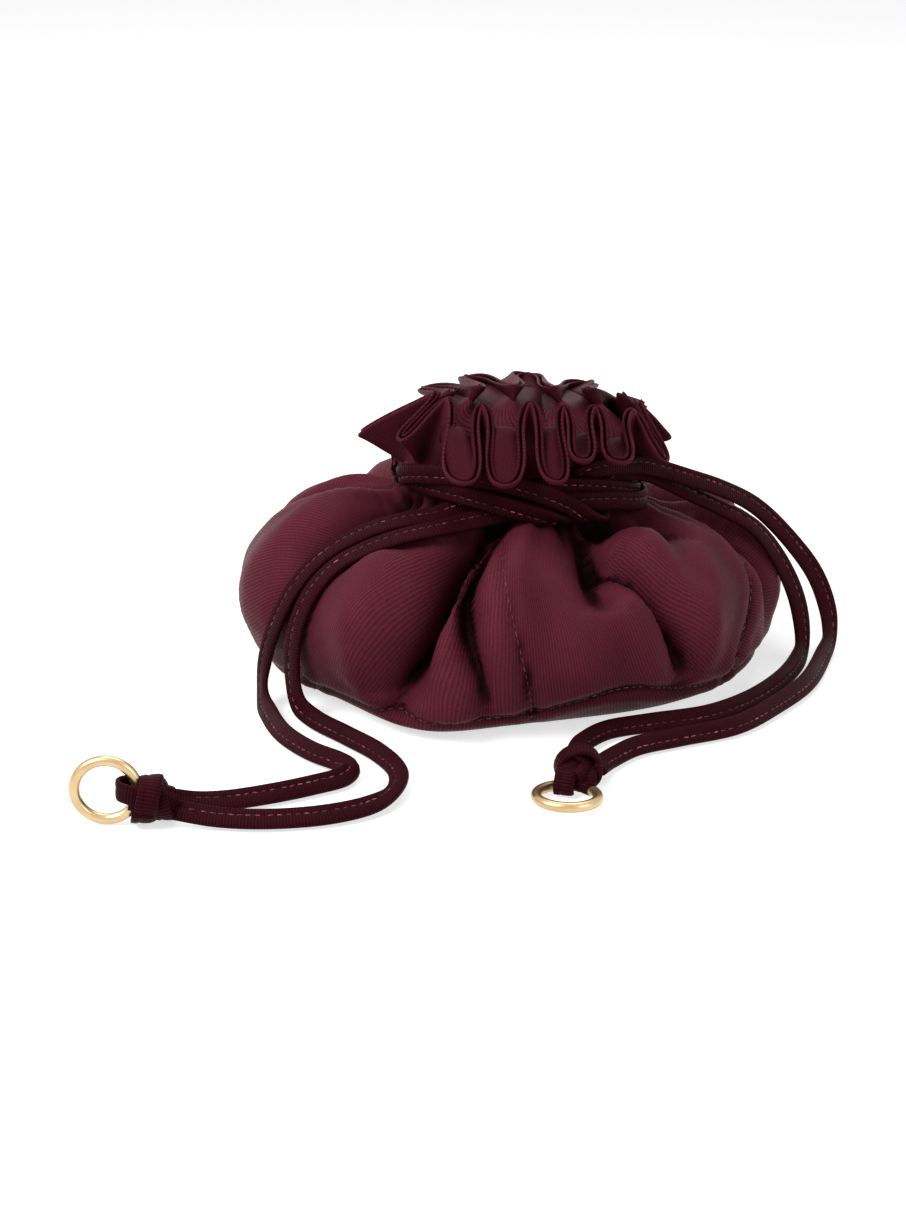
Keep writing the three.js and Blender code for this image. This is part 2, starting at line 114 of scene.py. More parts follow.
ROUTE_B1 = [
    (0.0366, -0.0054, 0.054, 0.95, -0.3, 0), (0.0383, -0.0134, 0.0552, 0.9, -0.5, 0),
    (0.0356, -0.0193, 0.0574, 0.7, -0.7, 0), (0.029, -0.025, 0.0602, 0.6, -0.8, 0),
    (0.0205, -0.0288, 0.062, 0.3, -1, 0), (0.0115, -0.0304, 0.0626, 0.1, -1, 0),
    (0.003, -0.0294, 0.0612, 0, -1, 0), (-0.006, -0.0279, 0.059, -0.2, -1, 0.1),
    (-0.014, -0.028, 0.0558, -0.3, -1, 0.3), (-0.022, -0.0316, 0.0542, -0.2, -0.7, 0.7),
    (-0.0322, -0.0346, 0.0536, -0.2, -0.5, 0.9), (-0.0413, -0.0366, 0.0514, -0.3, -0.5, 0.8),
    (-0.0499, -0.0378, 0.0474, -0.5, -0.5, 0.7), (-0.0568, -0.0398, 0.0426, -0.6, -0.5, 0.6),
    (-0.0624, -0.0414, 0.0363, -0.7, -0.6, 0.4), (-0.067, -0.0428, 0.0285, -0.75, -0.6, 0.2),
    (-0.0708, -0.0436, 0.0186, -0.8, -0.6, 0), (-0.0726, -0.045, 0.0096, -0.8, -0.5, 0),
    (-0.0724, -0.0504, 0.004, -0.8, -0.2, 0.4), (-0.0702, -0.059, 0.003, -0.6, -0.3, 0.7),
    (-0.0652, -0.0736, 0.003, -0.6, -0.4, 0.7), (-0.0566, -0.0862, 0.003, -0.5, -0.5, 0.7),
    (-0.0486, -0.0934, 0.003, -0.5, -0.5, 0.7), (-0.0452, -0.098, 0.003, 0.4, -0.5, 0.7),
    (-0.047, -0.1036, 0.003, 0.6, -0.4, 0.7), (-0.055, -0.109, 0.003, 0.3, -0.6, 0.7),
    (-0.066, -0.1146, 0.003, 0.3, -0.6, 0.7), (-0.078, -0.119, 0.003, 0.2, -0.6, 0.7),
    (-0.086, -0.1206, 0.0034, 0.2, -0.6, 0.7), (-0.0926, -0.1218, 0.0048, 0.1, -0.6, 0.7),
]
ROUTE_B2 = [
    (0.0389, -0.0056, 0.054, 0.95, -0.3, 0), (0.0405, -0.0146, 0.054, 0.9, -0.5, 0),
    (0.0376, -0.0214, 0.0552, 0.7, -0.7, 0), (0.0304, -0.0273, 0.0574, 0.6, -0.8, 0),
    (0.0214, -0.031, 0.0584, 0.3, -1, 0), (0.012, -0.0327, 0.0585, 0.1, -1, 0),
    (0.0035, -0.0328, 0.0572, 0, -1, 0), (-0.0045, -0.0316, 0.0544, -0.1, -1, 0.3),
    (-0.0125, -0.0336, 0.053, -0.1, -0.8, 0.6), (-0.022, -0.0384, 0.0524, -0.1, -0.5, 0.85),
    (-0.0324, -0.0406, 0.0506, -0.2, -0.5, 0.85), (-0.0428, -0.0422, 0.0472, -0.35, -0.5, 0.8),
    (-0.0508, -0.0446, 0.0432, -0.5, -0.5, 0.7), (-0.0566, -0.0472, 0.0378, -0.5, -0.6, 0.6),
    (-0.0608, -0.0498, 0.0306, -0.6, -0.7, 0.3), (-0.063, -0.0518, 0.0219, -0.7, -0.7, 0.1),
    (-0.0634, -0.0544, 0.0125, -0.7, -0.7, 0), (-0.0614, -0.0584, 0.0054, -0.6, -0.6, 0.4),
    (-0.0568, -0.0634, 0.0031, -0.5, -0.5, 0.7), (-0.0476, -0.0746, 0.003, -0.5, -0.4, 0.7),
    (-0.0376, -0.0874, 0.003, -0.6, -0.3, 0.7), (-0.032, -0.1004, 0.003, -0.4, 0, 0.8),
    (-0.0326, -0.1116, 0.003, -0.2, 0.1, 0.8), (-0.0384, -0.1214, 0.003, 0.2, -0.4, 0.8),
    (-0.05, -0.128, 0.003, 0.2, -0.6, 0.7), (-0.066, -0.131, 0.003, 0, -0.6, 0.7),
    (-0.08, -0.1302, 0.0032, 0, -0.6, 0.7), (-0.0928, -0.1276, 0.0044, -0.1, -0.6, 0.7),
]


# %% A smooth line through a route
def through(points, count):
    """Evenly spaced points on a smooth curve through the given rows, of any number of columns."""
    rows = np.array(points, float)
    rows = np.vstack([2 * rows[0] - rows[1], rows, 2 * rows[-1] - rows[-2]])
    knots = np.concatenate([[0], np.cumsum(np.linalg.norm(np.diff(rows[:, :3], axis=0), axis=1) ** 0.5)])
    fine = []
    for i in range(1, len(rows) - 2):
        p0, p1, p2, p3 = rows[i - 1:i + 3]
        t0, t1, t2, t3 = knots[i - 1:i + 3]
        for t in np.linspace(t1, t2, 24, endpoint=False):
            a1 = p0 * (t1 - t) / (t1 - t0) + p1 * (t - t0) / (t1 - t0)
            a2 = p1 * (t2 - t) / (t2 - t1) + p2 * (t - t1) / (t2 - t1)
            a3 = p2 * (t3 - t) / (t3 - t2) + p3 * (t - t2) / (t3 - t2)
            b1 = a1 * (t2 - t) / (t2 - t0) + a2 * (t - t0) / (t2 - t0)
            b2 = a2 * (t3 - t) / (t3 - t1) + a3 * (t - t1) / (t3 - t1)
            fine.append(b1 * (t2 - t) / (t2 - t1) + b2 * (t - t1) / (t2 - t1))
    fine.append(rows[-2])
    fine = np.array(fine)
    along = np.concatenate([[0], np.cumsum(np.linalg.norm(np.diff(fine[:, :3], axis=0), axis=1))])
    wanted = np.linspace(0, along[-1], count)
    even = np.stack([np.interp(wanted, along, fine[:, c]) for c in range(fine.shape[1])], axis=1)
    return even, along[-1]


# %% [markdown]
# ## Strap
# The real strap is a strip of the satin, folded over twice, pressed flat and sewn down with one row
# of stitches near its open edge. Its section is drawn once, with a shallow groove where the stitches
# pull it in and a small step where the open edge lies, and is extruded from place to place along
# the route. Two float layers on the vertices remember how far along and how far around each one
# is, and become the UV map, so the ribs of the cloth run straight across the strap.

# %% Section of the strap, across its width and through its thickness
STITCH_LINE = 0.0008
STRAP_SECTION = [
    (0.0029, 0.0), (0.00285, 0.0005), (0.0026, 0.00078), (0.0022, 0.00072), (0.0018, 0.00088),
    (0.0012, 0.00082), (STITCH_LINE, 0.00066), (0.0004, 0.00084), (-0.0008, 0.00096), (-0.0019, 0.00094),
    (-0.0026, 0.00074), (-0.0029, 0.0003), (-0.0029, -0.0003), (-0.0026, -0.00074), (-0.0019, -0.00094),
    (-0.0008, -0.00096), (0.0004, -0.00084), (STITCH_LINE, -0.00066), (0.0012, -0.00082),
    (0.0018, -0.0008), (0.0024, -0.00076), (0.00282, -0.00045),
]


# %% Pieces from meshes
def new_mesh(name, bm):
    mesh = bpy.data.meshes.new(name)
    bm.to_mesh(mesh)
    bm.free()
    return mesh


def new_piece(name, bm, material=None):
    """A named object in the scene, made of the given faces."""
    piece = bpy.data.objects.new(name, new_mesh(name, bm))
    scene.collection.objects.link(piece)
    return add_material(piece, material) if material else piece


def add_material(piece, material):
    piece.data.materials.clear()
    piece.data.materials.append(material)
    return piece


# %% Sweeping the section along a route
def strap_places(route, spacing=0.0012):
    """Places along a route as matrices: X across the strap, Y out of its face, Z along it."""
    length = through(route, 2)[1]
    even = through(route, max(8, int(length / spacing)))[0]
    places = []
    for i in range(len(even)):
        ahead, behind = even[min(i + 1, len(even) - 1), :3], even[max(i - 1, 0), :3]
        along = Vector(ahead - behind).normalized()
        face = Vector(even[i, 3:6])
        across = along.cross(face).normalized()
        turn = Matrix((across, across.cross(along), along)).transposed().to_4x4()
        places.append(Matrix.Translation(even[i, :3]) @ turn)
    return places, length


def sweep(name, section, places):
    """Extrudes a closed section from place to place, and closes both ends."""
    bm = bmesh.new()
    around = bm.verts.layers.float.new("around")
    along = bm.verts.layers.float.new("along")
    girth = 0.0
    ring = []
    for i, (x, y) in enumerate(section):
        vert = bm.verts.new(places[0] @ Vector((x, y, 0)))
        girth += math.dist(section[i - 1], section[i]) if i else 0
        vert[around] = girth
        ring.append(vert)
    girth += math.dist(section[-1], section[0])
    edges = [bm.edges.new((ring[i - 1], ring[i])) for i in range(len(ring))]
    bm.faces.new(ring)
    reach = 0.0
    for before, after in zip(places, places[1:]):
        reach += (after.translation - before.translation).length
        made = bmesh.ops.extrude_edge_only(bm, edges=edges)["geom"]
        verts = [g for g in made if isinstance(g, bmesh.types.BMVert)]
        fresh = set(verts)
        edges = [g for g in made if isinstance(g, bmesh.types.BMEdge) and set(g.verts) <= fresh]
        bmesh.ops.transform(bm, matrix=after @ before.inverted(), verts=verts)
        for vert in verts:
            vert[along] = reach
    bmesh.ops.contextual_create(bm, geom=edges)
    bmesh.ops.recalc_face_normals(bm, faces=bm.faces)
    uv = bm.loops.layers.uv.new("cloth")
    for face in bm.faces:
        turns = [loop.vert[around] for loop in face.loops]
        wrap = max(turns) - min(turns) > girth / 2
        for loop in face.loops:
            turn = loop.vert[around]
            if wrap and turn < girth / 2:
                turn += girth
            loop[uv].uv = (loop.vert[along], turn)
        face.smooth = True
    return new_piece(name, bm)


straps = {}
for name, route in (
    ("strap_a1", ROUTE_A1), ("strap_a2", ROUTE_A2), ("strap_b1", ROUTE_B1), ("strap_b2", ROUTE_B2)
):
    places, length = strap_places(route)
    straps[name] = {"piece": sweep(name, STRAP_SECTION, places), "places": places, "length": length}
    print(name, "is", round(length * 1000), "mm long, in", len(places), "places")


# %% [markdown]
# ## Satin twill
# Satin twill shows fine ribs a millimetre apart, and each rib is a row of short slanting floats of
# yarn. A node group makes the ribs from the cloth's own UV map, which is in metres of cloth: a sine
# across the ribs, a second finer one along them that shifts from rib to rib, and two noises for
# uneven yarn and for the soft clouds that handling leaves. One more input paints light and shade:
# above zero it paints a highlight, below zero it paints shade, and far below zero it paints an almost
# black shadow. The group only puts out a colour, a roughness and a height. How strongly satin
# reflects stays in each material's shader.

# %% Node helpers
def math_node(tree, operation, first, second=None, third=None):
    node = tree.nodes.new("ShaderNodeMath")
    node.operation = operation
    for socket, value in zip(node.inputs, (first, second, third)):
        if value is None:
            continue
        if isinstance(value, (int, float)):
            socket.default_value = value
        else:
            tree.links.new(value, socket)
    return node.outputs[0]


def noise_node(tree, vector, scale, detail=2.0, roughness=0.5):
    node = tree.nodes.new("ShaderNodeTexNoise")
    node.inputs["Scale"].default_value = scale
    node.inputs["Detail"].default_value = detail
    node.inputs["Roughness"].default_value = roughness
    tree.links.new(vector, node.inputs["Vector"])
    return node.outputs["Fac"]


def mix_colours(tree, share, first, second):
    node = tree.nodes.new("ShaderNodeMix")
    node.data_type = "RGBA"
    for socket, value in ((node.inputs[0], share), (node.inputs[6], first), (node.inputs[7], second)):
        if isinstance(value, (int, float, tuple)):
            socket.default_value = value
        else:
            tree.links.new(value, socket)
    return node.outputs[2]


def bump_nodes(tree, height, strength, distance):
    node = tree.nodes.new("ShaderNodeBump")
    node.inputs["Strength"].default_value = strength
    node.inputs["Distance"].default_value = distance
    tree.links.new(height, node.inputs["Height"])
    tree.links.new(node.outputs["Normal"], tree.nodes["Principled BSDF"].inputs["Normal"])


def cloth_map(tree):
    node = tree.nodes.new("ShaderNodeUVMap")
    node.uv_map = "cloth"
    return node.outputs["UV"]


def new_material(name):
    material = bpy.data.materials.new(name)
    material.use_nodes = True
    tree = material.node_tree
    return material, tree, tree.nodes["Principled BSDF"].inputs


# %% Twill group
# the last input carries painted light: painted highlight above zero, painted shade below it
TWILL_INPUTS = {"Cloth": "Vector", "Rib Pitch": "Float", "Light Yarn": "Color", "Dark Yarn": "Color", "Painted_Light": "Float"}
TWILL_OUTPUTS = {"Color": "Color", "Roughness": "Float", "Height": "Float"}
# painted shadow: the almost black colour painted into the deepest folds
PAINTED_FOLD_SHADOW = (0.006, 0.001, 0.002, 1)


def make_twill_group():
    tree = bpy.data.node_groups.new("twill cloth", "ShaderNodeTree")
    for flow, sockets in (("INPUT", TWILL_INPUTS), ("OUTPUT", TWILL_OUTPUTS)):
        for name, kind in sockets.items():
            tree.interface.new_socket(name, in_out=flow, socket_type="NodeSocket" + kind)
    inside = tree.nodes.new("NodeGroupInput").outputs
    outside = tree.nodes.new("NodeGroupOutput").inputs
    split = tree.nodes.new("ShaderNodeSeparateXYZ")
    tree.links.new(inside["Cloth"], split.inputs[0])
    wander = noise_node(tree, inside["Cloth"], 60, 1)
    wandered = math_node(tree, "MULTIPLY_ADD", wander, 0.0012, split.outputs["X"])
    ribs = math_node(tree, "DIVIDE", wandered, inside["Rib Pitch"])
    rib_number = math_node(tree, "FLOOR", ribs)
    rib_phase = math_node(tree, "MULTIPLY", ribs, 2 * math.pi)
    rib_wave = math_node(tree, "MULTIPLY_ADD", math_node(tree, "COSINE", rib_phase), -0.5, 0.5)
    floats = math_node(tree, "DIVIDE", split.outputs["Y"], inside["Rib Pitch"])
    floats = math_node(tree, "MULTIPLY_ADD", rib_number, 0.37, floats)
    floats = math_node(tree, "ADD", floats, math_node(tree, "MULTIPLY", ribs, 0.6))
    float_phase = math_node(tree, "MULTIPLY", floats, 4 * math.pi)
    float_wave = math_node(tree, "MULTIPLY_ADD", math_node(tree, "SINE", float_phase), 0.5, 0.5)
    yarn = noise_node(tree, inside["Cloth"], 1500, 2)
    clouds = noise_node(tree, inside["Cloth"], 45, 3)
    height = math_node(tree, "MULTIPLY_ADD", float_wave, 0.25, rib_wave)
    height = math_node(tree, "MULTIPLY_ADD", yarn, 0.35, height)
    tree.links.new(height, outside["Height"])
    share = math_node(tree, "MULTIPLY_ADD", rib_wave, 0.45, 0.1)
    share = math_node(tree, "MULTIPLY_ADD", float_wave, 0.12, share)
    share = math_node(tree, "MULTIPLY_ADD", math_node(tree, "SUBTRACT", yarn, 0.5), 0.7, share)
    share = math_node(tree, "MULTIPLY_ADD", math_node(tree, "SUBTRACT", clouds, 0.5), 0.5, share)
    # painted light: this input lightens the colour as a painted highlight and darkens it as painted shade
    share = math_node(tree, "ADD", share, inside["Painted_Light"])
    share.node.use_clamp = True
    colour = mix_colours(tree, share, inside["Dark Yarn"], inside["Light Yarn"])
    # painted shadow: far below zero the colour turns almost black
    fold_shadow = math_node(tree, "MULTIPLY_ADD", inside["Painted_Light"], 1.5, 1.0)
    fold_shadow.node.use_clamp = True
    tree.links.new(mix_colours(tree, fold_shadow, PAINTED_FOLD_SHADOW, colour), outside["Color"])
    gloss = math_node(tree, "MULTIPLY_ADD", clouds, 0.2, 0.42)
    tree.links.new(math_node(tree, "MULTIPLY_ADD", rib_wave, -0.08, gloss), outside["Roughness"])
    return tree


twill_group = make_twill_group()


# %% Cloth materials
def cloth_material(name, light, dark, pitch, bump=0.25, paint_light_and_shade=False):
    """Twill in two yarn colours; when asked, an attribute of the mesh paints highlight on its ridges and shade in its
    folds and seams.
    """
    material, tree, shader = new_material(name)
    material.diffuse_color = (*light, 1)
    twill = tree.nodes.new("ShaderNodeGroup")
    twill.node_tree = twill_group
    tree.links.new(cloth_map(tree), twill.inputs["Cloth"])
    twill.inputs["Rib Pitch"].default_value = pitch
    twill.inputs["Light Yarn"].default_value = (*light, 1)
    twill.inputs["Dark Yarn"].default_value = (*dark, 1)
    if paint_light_and_shade:
        # painted light: the mesh attribute paints highlight on ridges and shade in folds, seams and strap grooves
        fold_light_node = tree.nodes.new("ShaderNodeAttribute")
        fold_light_node.attribute_name = "painted_light_layer"
        tree.links.new(fold_light_node.outputs["Fac"], twill.inputs["Painted_Light"])
    bump_nodes(tree, twill.outputs["Height"], bump, 0.0003)
    tree.links.new(twill.outputs["Color"], shader["Base Color"])
    tree.links.new(twill.outputs["Roughness"], shader["Roughness"])
    shader["Specular IOR Level"].default_value = 0.05
    shader["Specular Tint"].default_value = (1, 0.4, 0.5, 1)
    return material


satin = cloth_material("satin", (0.124, 0.0205, 0.036), (0.036, 0.0044, 0.0095), 0.001, paint_light_and_shade=True)
# painted shade: the lining is the same satin as the cover, drawn darker for the shade on the inner layer
satin_lining = cloth_material("satin lining", (0.08, 0.0115, 0.021), (0.023, 0.0024, 0.0055), 0.001)
strap_satin = cloth_material("strap satin", (0.05, 0.0062, 0.012), (0.011, 0.001, 0.0024), 0.00085, 0.4)
for strap in straps.values():
    add_material(strap["piece"], strap_satin)


# %% Thread and brass
def thread_material(name, light, dark, roughness):
    """Thread painted lighter in small random patches, as painted glints; its roughness follows the same patches."""
    material, tree, shader = new_material(name)
    place = tree.nodes.new("ShaderNodeTexCoord").outputs["Object"]
    patches = noise_node(tree, place, 260, 2)
    # painted highlight: the light thread colour in these patches stands in for glints
    painted_glint = math_node(tree, "MULTIPLY_ADD", patches, 4, -2.05)
    painted_glint.node.use_clamp = True
    tree.links.new(mix_colours(tree, painted_glint, (*dark, 1), (*light, 1)), shader["Base Color"])
    tree.links.new(math_node(tree, "MULTIPLY_ADD", patches, 0.2, roughness), shader["Roughness"])
    shader["Specular Tint"].default_value = (1, 0.6, 0.65, 1)
    return material


thread = thread_material("glossy thread", (0.5, 0.14, 0.19), (0.03, 0.004, 0.008), 0.25)
seam_thread = thread_material("seam thread", (0.26, 0.06, 0.09), (0.05, 0.006, 0.012), 0.3)


def brass_material():
    """Brass with fine lines along the wire and soft tarnish."""
    material, tree, shader = new_material("brushed brass")
    stretch = tree.nodes.new("ShaderNodeMapping")
    stretch.inputs["Scale"].default_value = (90, 2600, 1)
    tree.links.new(cloth_map(tree), stretch.inputs["Vector"])
    lines = noise_node(tree, stretch.outputs["Vector"], 1, 3, 0.6)
    place = tree.nodes.new("ShaderNodeTexCoord").outputs["Object"]
    tarnish = noise_node(tree, place, 160, 3)
    colour = mix_colours(tree, tarnish, (0.47, 0.32, 0.15, 1), (0.73, 0.56, 0.34, 1))
    tree.links.new(colour, shader["Base Color"])
    tree.links.new(math_node(tree, "MULTIPLY_ADD", lines, 0.25, 0.2), shader["Roughness"])
    bump_nodes(tree, lines, 0.25, 0.0001)
    shader["Metallic"].default_value = 1
    return material


brass = brass_material()
print("materials:", ", ".join(m.name for m in bpy.data.materials))

# %% [markdown]
# ## Table and light
# A product picture of a dark satin thing wants big soft lamps: one large panel high on the left,
# a weaker one on the right and a strip behind for the edges. The table and the world show white to
# the camera and in glossy reflections, but light the pouch only as a plain room would, so the
# colours render about as they are written, and the table still shows a faint shadow.

# %% World
ROOM_LIGHT = 0.16


def seen_white(tree):
    """1 for the rays that show the room as white: to the camera, in reflections and through things."""
    paths = tree.nodes.new("ShaderNodeLightPath").outputs
    seen = math_node(tree, "MAXIMUM", paths["Is Camera Ray"], paths["Is Glossy Ray"])
    return math_node(tree, "MAXIMUM", seen, paths["Is Transmission Ray"])


world = bpy.data.worlds.new("studio")
scene.world = world
world.use_nodes = True
tree = world.node_tree
background = tree.nodes["Background"].inputs
strength = math_node(tree, "MULTIPLY_ADD", seen_white(tree), 1 - ROOM_LIGHT, ROOM_LIGHT)
background["Color"].default_value = (1, 1, 1, 1)
tree.links.new(strength, background["Strength"])
scene.view_settings.view_transform = "Standard"

# %% Table
TABLE_GAP = 0.0002
TABLE_GLOW = 0.66
bm = bmesh.new()
bmesh.ops.create_grid(bm, x_segments=1, y_segments=1, size=4)
bmesh.ops.translate(bm, vec=(0, 0, -TABLE_GAP), verts=bm.verts)
table_top, tree, shader = new_material("white table")
shader["Base Color"].default_value = (0.7, 0.7, 0.7, 1)
shader["Roughness"].default_value = 0.9
shader["Specular IOR Level"].default_value = 0
shader["Emission Color"].default_value = (1, 1, 1, 1)
tree.links.new(math_node(tree, "MULTIPLY", seen_white(tree), TABLE_GLOW), shader["Emission Strength"])
table = new_piece("table", bm, table_top)

# %% Lamps: place, width and depth, power
LAMP_AIM = Vector((0, 0, 0.03))
for name, place, size, power in (
    ("key", (-0.75, -0.55, 0.95), (0.7, 0.7), 15), ("fill", (0.95, -0.7, 0.55), (0.8, 0.6), 4),
    ("top", (0.1, 0.35, 1.1), (0.9, 0.5), 5),
):
    data = bpy.data.lights.new(name, "AREA")
    data.shape = "RECTANGLE"
    data.size, data.size_y = size
    data.energy = power
    lamp = bpy.data.objects.new(name, data)
    lamp.location = place
    lamp.rotation_euler = (LAMP_AIM - Vector(place)).to_track_quat("-Z", "Y").to_euler()
    scene.collection.objects.link(lamp)


# %% [markdown]
# ## The round of cloth
# The body, the neck and its channel are one round of cloth. Its section is drawn once and spun
# round the middle, as a potter would, and then each vertex is moved to where the gathered cloth
# lies. Two whole-number layers remember each vertex's row, which is its way out from the middle of
# the cloth, and its column, which is its direction there. The folds are placed by them. The UV map
# is the flat round itself, so the ribs of the twill run straight across it: they stand upright at
# the front of the pouch and lie level at its sides.

# %% Section of the pouch: way up the side, radius and height, in millimetres
MM = 0.001
BASE_RADIUS = 67
SIDE_SECTION = [
    (0, 67, 0.2), (5, 71.6, 1.2), (14, 79, 6.5), (24.5, 82, 16.5), (38, 79.5, 29.5), (50, 71.8, 38.8),
    (61, 61.8, 45.8), (72, 51.5, 49.6), (81, 43, 51.2), (87, 38.6, 52.6), (93, 37.6, 57.5), (101, 37.4, 65),
]
NECK_START = 87
TOP = 101
BASE_ROWS = 10
SIDE_ROWS = 100
COLUMNS = 240
NECK_SHIFT = 3


smooth_side = through([(r, z, s) for s, r, z in SIDE_SECTION], 160)[0][:, [2, 0, 1]]


def side_at(way_up):
    """Radius and height of the plain section at a distance up the side, for an array of distances."""
    return [np.interp(way_up, smooth_side[:, 0], smooth_side[:, column]) for column in (1, 2)]


def step(x, low, high):
    t = np.clip((x - low) / (high - low), 0, 1)
    return t * t * (3 - 2 * t)


def wrapped(angle):
    """The same direction as an angle from -180 to 180 degrees."""
    return (angle + 180) % 360 - 180


def humps_at(angle, humps):
    """The sum of soft humps round the pouch; each has a height, a direction and a width in degrees."""
    return sum(high * np.exp(-((wrapped(angle - centre) / width) ** 2)) for high, centre, width in humps)


# %% [markdown]
# ## Folds
# Each fold is a line on the cloth: how far round in degrees, how far up the side in millimetres,
# how deep and how wide. A valley pushes the cloth in and pulls its banks together; a negative depth
# swells it. The lines at the front follow the photographed pouch, where two deep valleys meet the
# left panel and a long one crosses the right panel. Those behind are laid out in the same manner.

# %% Folds, listed one by one
VALLEYS = [
    [(-104, 84, 6, 4), (-105.6, 74, 14, 6), (-107.2, 60, 22, 7.5), (-108, 47, 23, 8), (-109.4, 34, 20, 8.5),
     (-112.5, 20, 9, 7), (-114.5, 11, 0, 4)],
    [(-95.5, 84, 4, 3), (-97, 70, 9, 4), (-98, 54, 13, 4.5), (-97.5, 38, 12, 4.5), (-96, 24, 6, 4), (-95.5, 14, 0, 3)],
    [(-70, 86, 6, 5), (-68, 76, 12, 7), (-68, 64, 14, 8), (-69, 53, 7, 8), (-71, 44, 0, 8)],
    [(-57, 85, 4, 4), (-59, 68, 8, 5), (-57.5, 54, 12, 5), (-54.5, 40, 12, 5), (-52, 27, 6, 5), (-51, 18, 0, 4)],
    [(-54, 86, 8, 7), (-45, 80, 11, 8), (-36, 71, 7, 8), (-29, 60, 0, 8)],
    [(-9, 84, 4, 5), (-8, 62, 7, 6), (-11, 44, 6, 6), (-16, 28, 2, 6), (-20, 18, 0, 6)],
    [(-152, 84, 6, 5), (-147, 68, 9, 7), (-143, 54, 8, 7), (-140, 42, 4, 7), (-139, 30, 0, 7)],
    [(-178, 86, 5, 5), (-180, 72, 7, 6), (173, 57, 6, 7), (166, 41, 3, 7), (161, 26, 0, 7)],
    [(12, 86, 4, 5), (14, 66, 8, 6), (17, 48, 7, 6), (20, 30, 3, 6), (22, 18, 0, 5)],
    [(38, 86, 5, 5), (37, 64, 9, 6), (41, 44, 6, 6), (44, 28, 0, 6)],
    [(60, 86, 4, 5), (63, 64, 7, 6), (62, 46, 7, 6), (58, 26, 2, 6), (57, 16, 0, 5)],
    [(88, 86, 5, 5), (91, 66, 10, 6), (94, 48, 8, 6), (95, 30, 2, 6), (95, 20, 0, 5)],
    [(112, 86, 4, 5), (110, 62, 8, 6), (113, 42, 6, 6), (118, 24, 0, 6)],
    [(136, 86, 4, 5), (134, 64, 8, 6), (131, 46, 6, 6), (128, 28, 0, 6)],
    [(154, 86, 4, 5), (152, 68, 6, 6), (150, 52, 4, 7), (149, 38, 0, 7)],
]
SWELLS = [
    [(-66, 86, -2, 4), (-61.5, 76, -4, 5), (-58.5, 64, -4, 6), (-62, 50, -4, 8), (-70, 44, -2, 9), (-76, 42, 0, 9)],
    [(-30, 76, 0, 8), (-34, 58, -3, 9), (-42, 42, -4, 9), (-46, 30, -2, 8), (-48, 22, 0, 8)],
    [(-128, 72, 0, 14), (-126, 54, -4, 15), (-123, 36, -5, 15), (-122, 20, 0, 14)],
    [(-164, 80, 0, 14), (-162, 60, -5, 16), (-160, 40, -5, 16), (-158, 20, 0, 15)],
    [(-80, 62, 0, 8), (-79, 46, -3, 10), (-76, 30, -4, 12), (-74, 16, 0, 12)],
    [(-100.5, 80, -3, 2.4), (-101, 66, -8, 2.8), (-101.8, 50, -8, 3), (-102.6, 36, -5, 3.6), (-103.5, 24, 0, 5)],
    [(3, 74, 0, 9), (3, 52, -4, 12), (2, 32, -3, 12), (1, 18, 0, 12)],
    [(28, 72, 0, 9), (29, 50, -4, 11), (31, 30, -2, 12), (31, 18, 0, 12)],
    [(76, 70, 0, 10), (76, 50, -4, 13), (76, 30, -3, 13), (76, 18, 0, 12)],
    [(122, 70, 0, 9), (122, 50, -4, 11), (123, 30, -2, 12), (123, 18, 0, 12)],
]
GATHERS = [
    -171, -160, -141, -132, -122, -114, -100, -90, -84, -77, -63, -49, -41, -30, -20, -1, 6, 21, 29, 47, 54,
    70, 79, 99, 106, 119, 127, 144, 162, 170,
]
SEAMS = [
    [(-93, 84), (-91.5, 62), (-90, 46), (-88, 34), (-86.5, 24), (-85, 5)],
    [(-10, 80), (-13, 62), (-18, 50), (-23, 41), (-29, 33), (-34, 24), (-37, 5)],
    [(-150, 80), (-145, 64), (-142, 50), (-141, 37), (-141, 26), (-140, 5)],
    [(24, 84), (26, 60), (29, 34), (30, 5)],
    [(84, 84), (83, 60), (85, 34), (86, 5)],
    [(143, 84), (142, 60), (145, 34), (147, 5)],
]
BASE_SEAM = 14
BASE_SEAM_HUMPS = [(8, -67, 16), (3, -25, 14), (3, 75, 20), (3, 160, 20)]
SKIRT_HUMPS = [
    (7, -108, 13), (-2.5, -136, 12), (-3.5, -72, 22), (2, 60, 20), (-2, 130, 16), (-3.5, 180, 24), (-2, 0, 26),
]
SHOULDER_HUMPS = [(2.5, 175, 28), (-4, 125, 32), (-2, 75, 30), (-4, 8, 34)]


def base_seam_at(angle):
    """Way up of the ring seam round the base in millimetres: the folds pull it up here and there."""
    return BASE_SEAM + humps_at(angle, BASE_SEAM_HUMPS)


def near_line(angle, way_up, radius, line):
    """For each vertex the signed distance to a line on the cloth, and the line's numbers nearest to it."""
    marks, _ = through([(math.cos(math.radians(a)), math.sin(math.radians(a)), s * MM, *rest)
                        for a, s, *rest in line], 40)
    marks_angle = np.degrees(np.arctan2(marks[:, 1], marks[:, 0]))
    best = np.full(len(angle), 1e9)
    side = np.zeros(len(angle))
    values = np.zeros((len(angle), marks.shape[1] - 3))
    for mark, mark_angle in zip(marks, marks_angle):
        across = np.radians(wrapped(angle - mark_angle)) * radius
        distance = np.hypot(across, way_up - mark[2] / MM)
        nearer = distance < best
        best[nearer] = distance[nearer]
        side[nearer] = np.sign(across[nearer])
        values[nearer] = mark[3:]
    return best, side, values


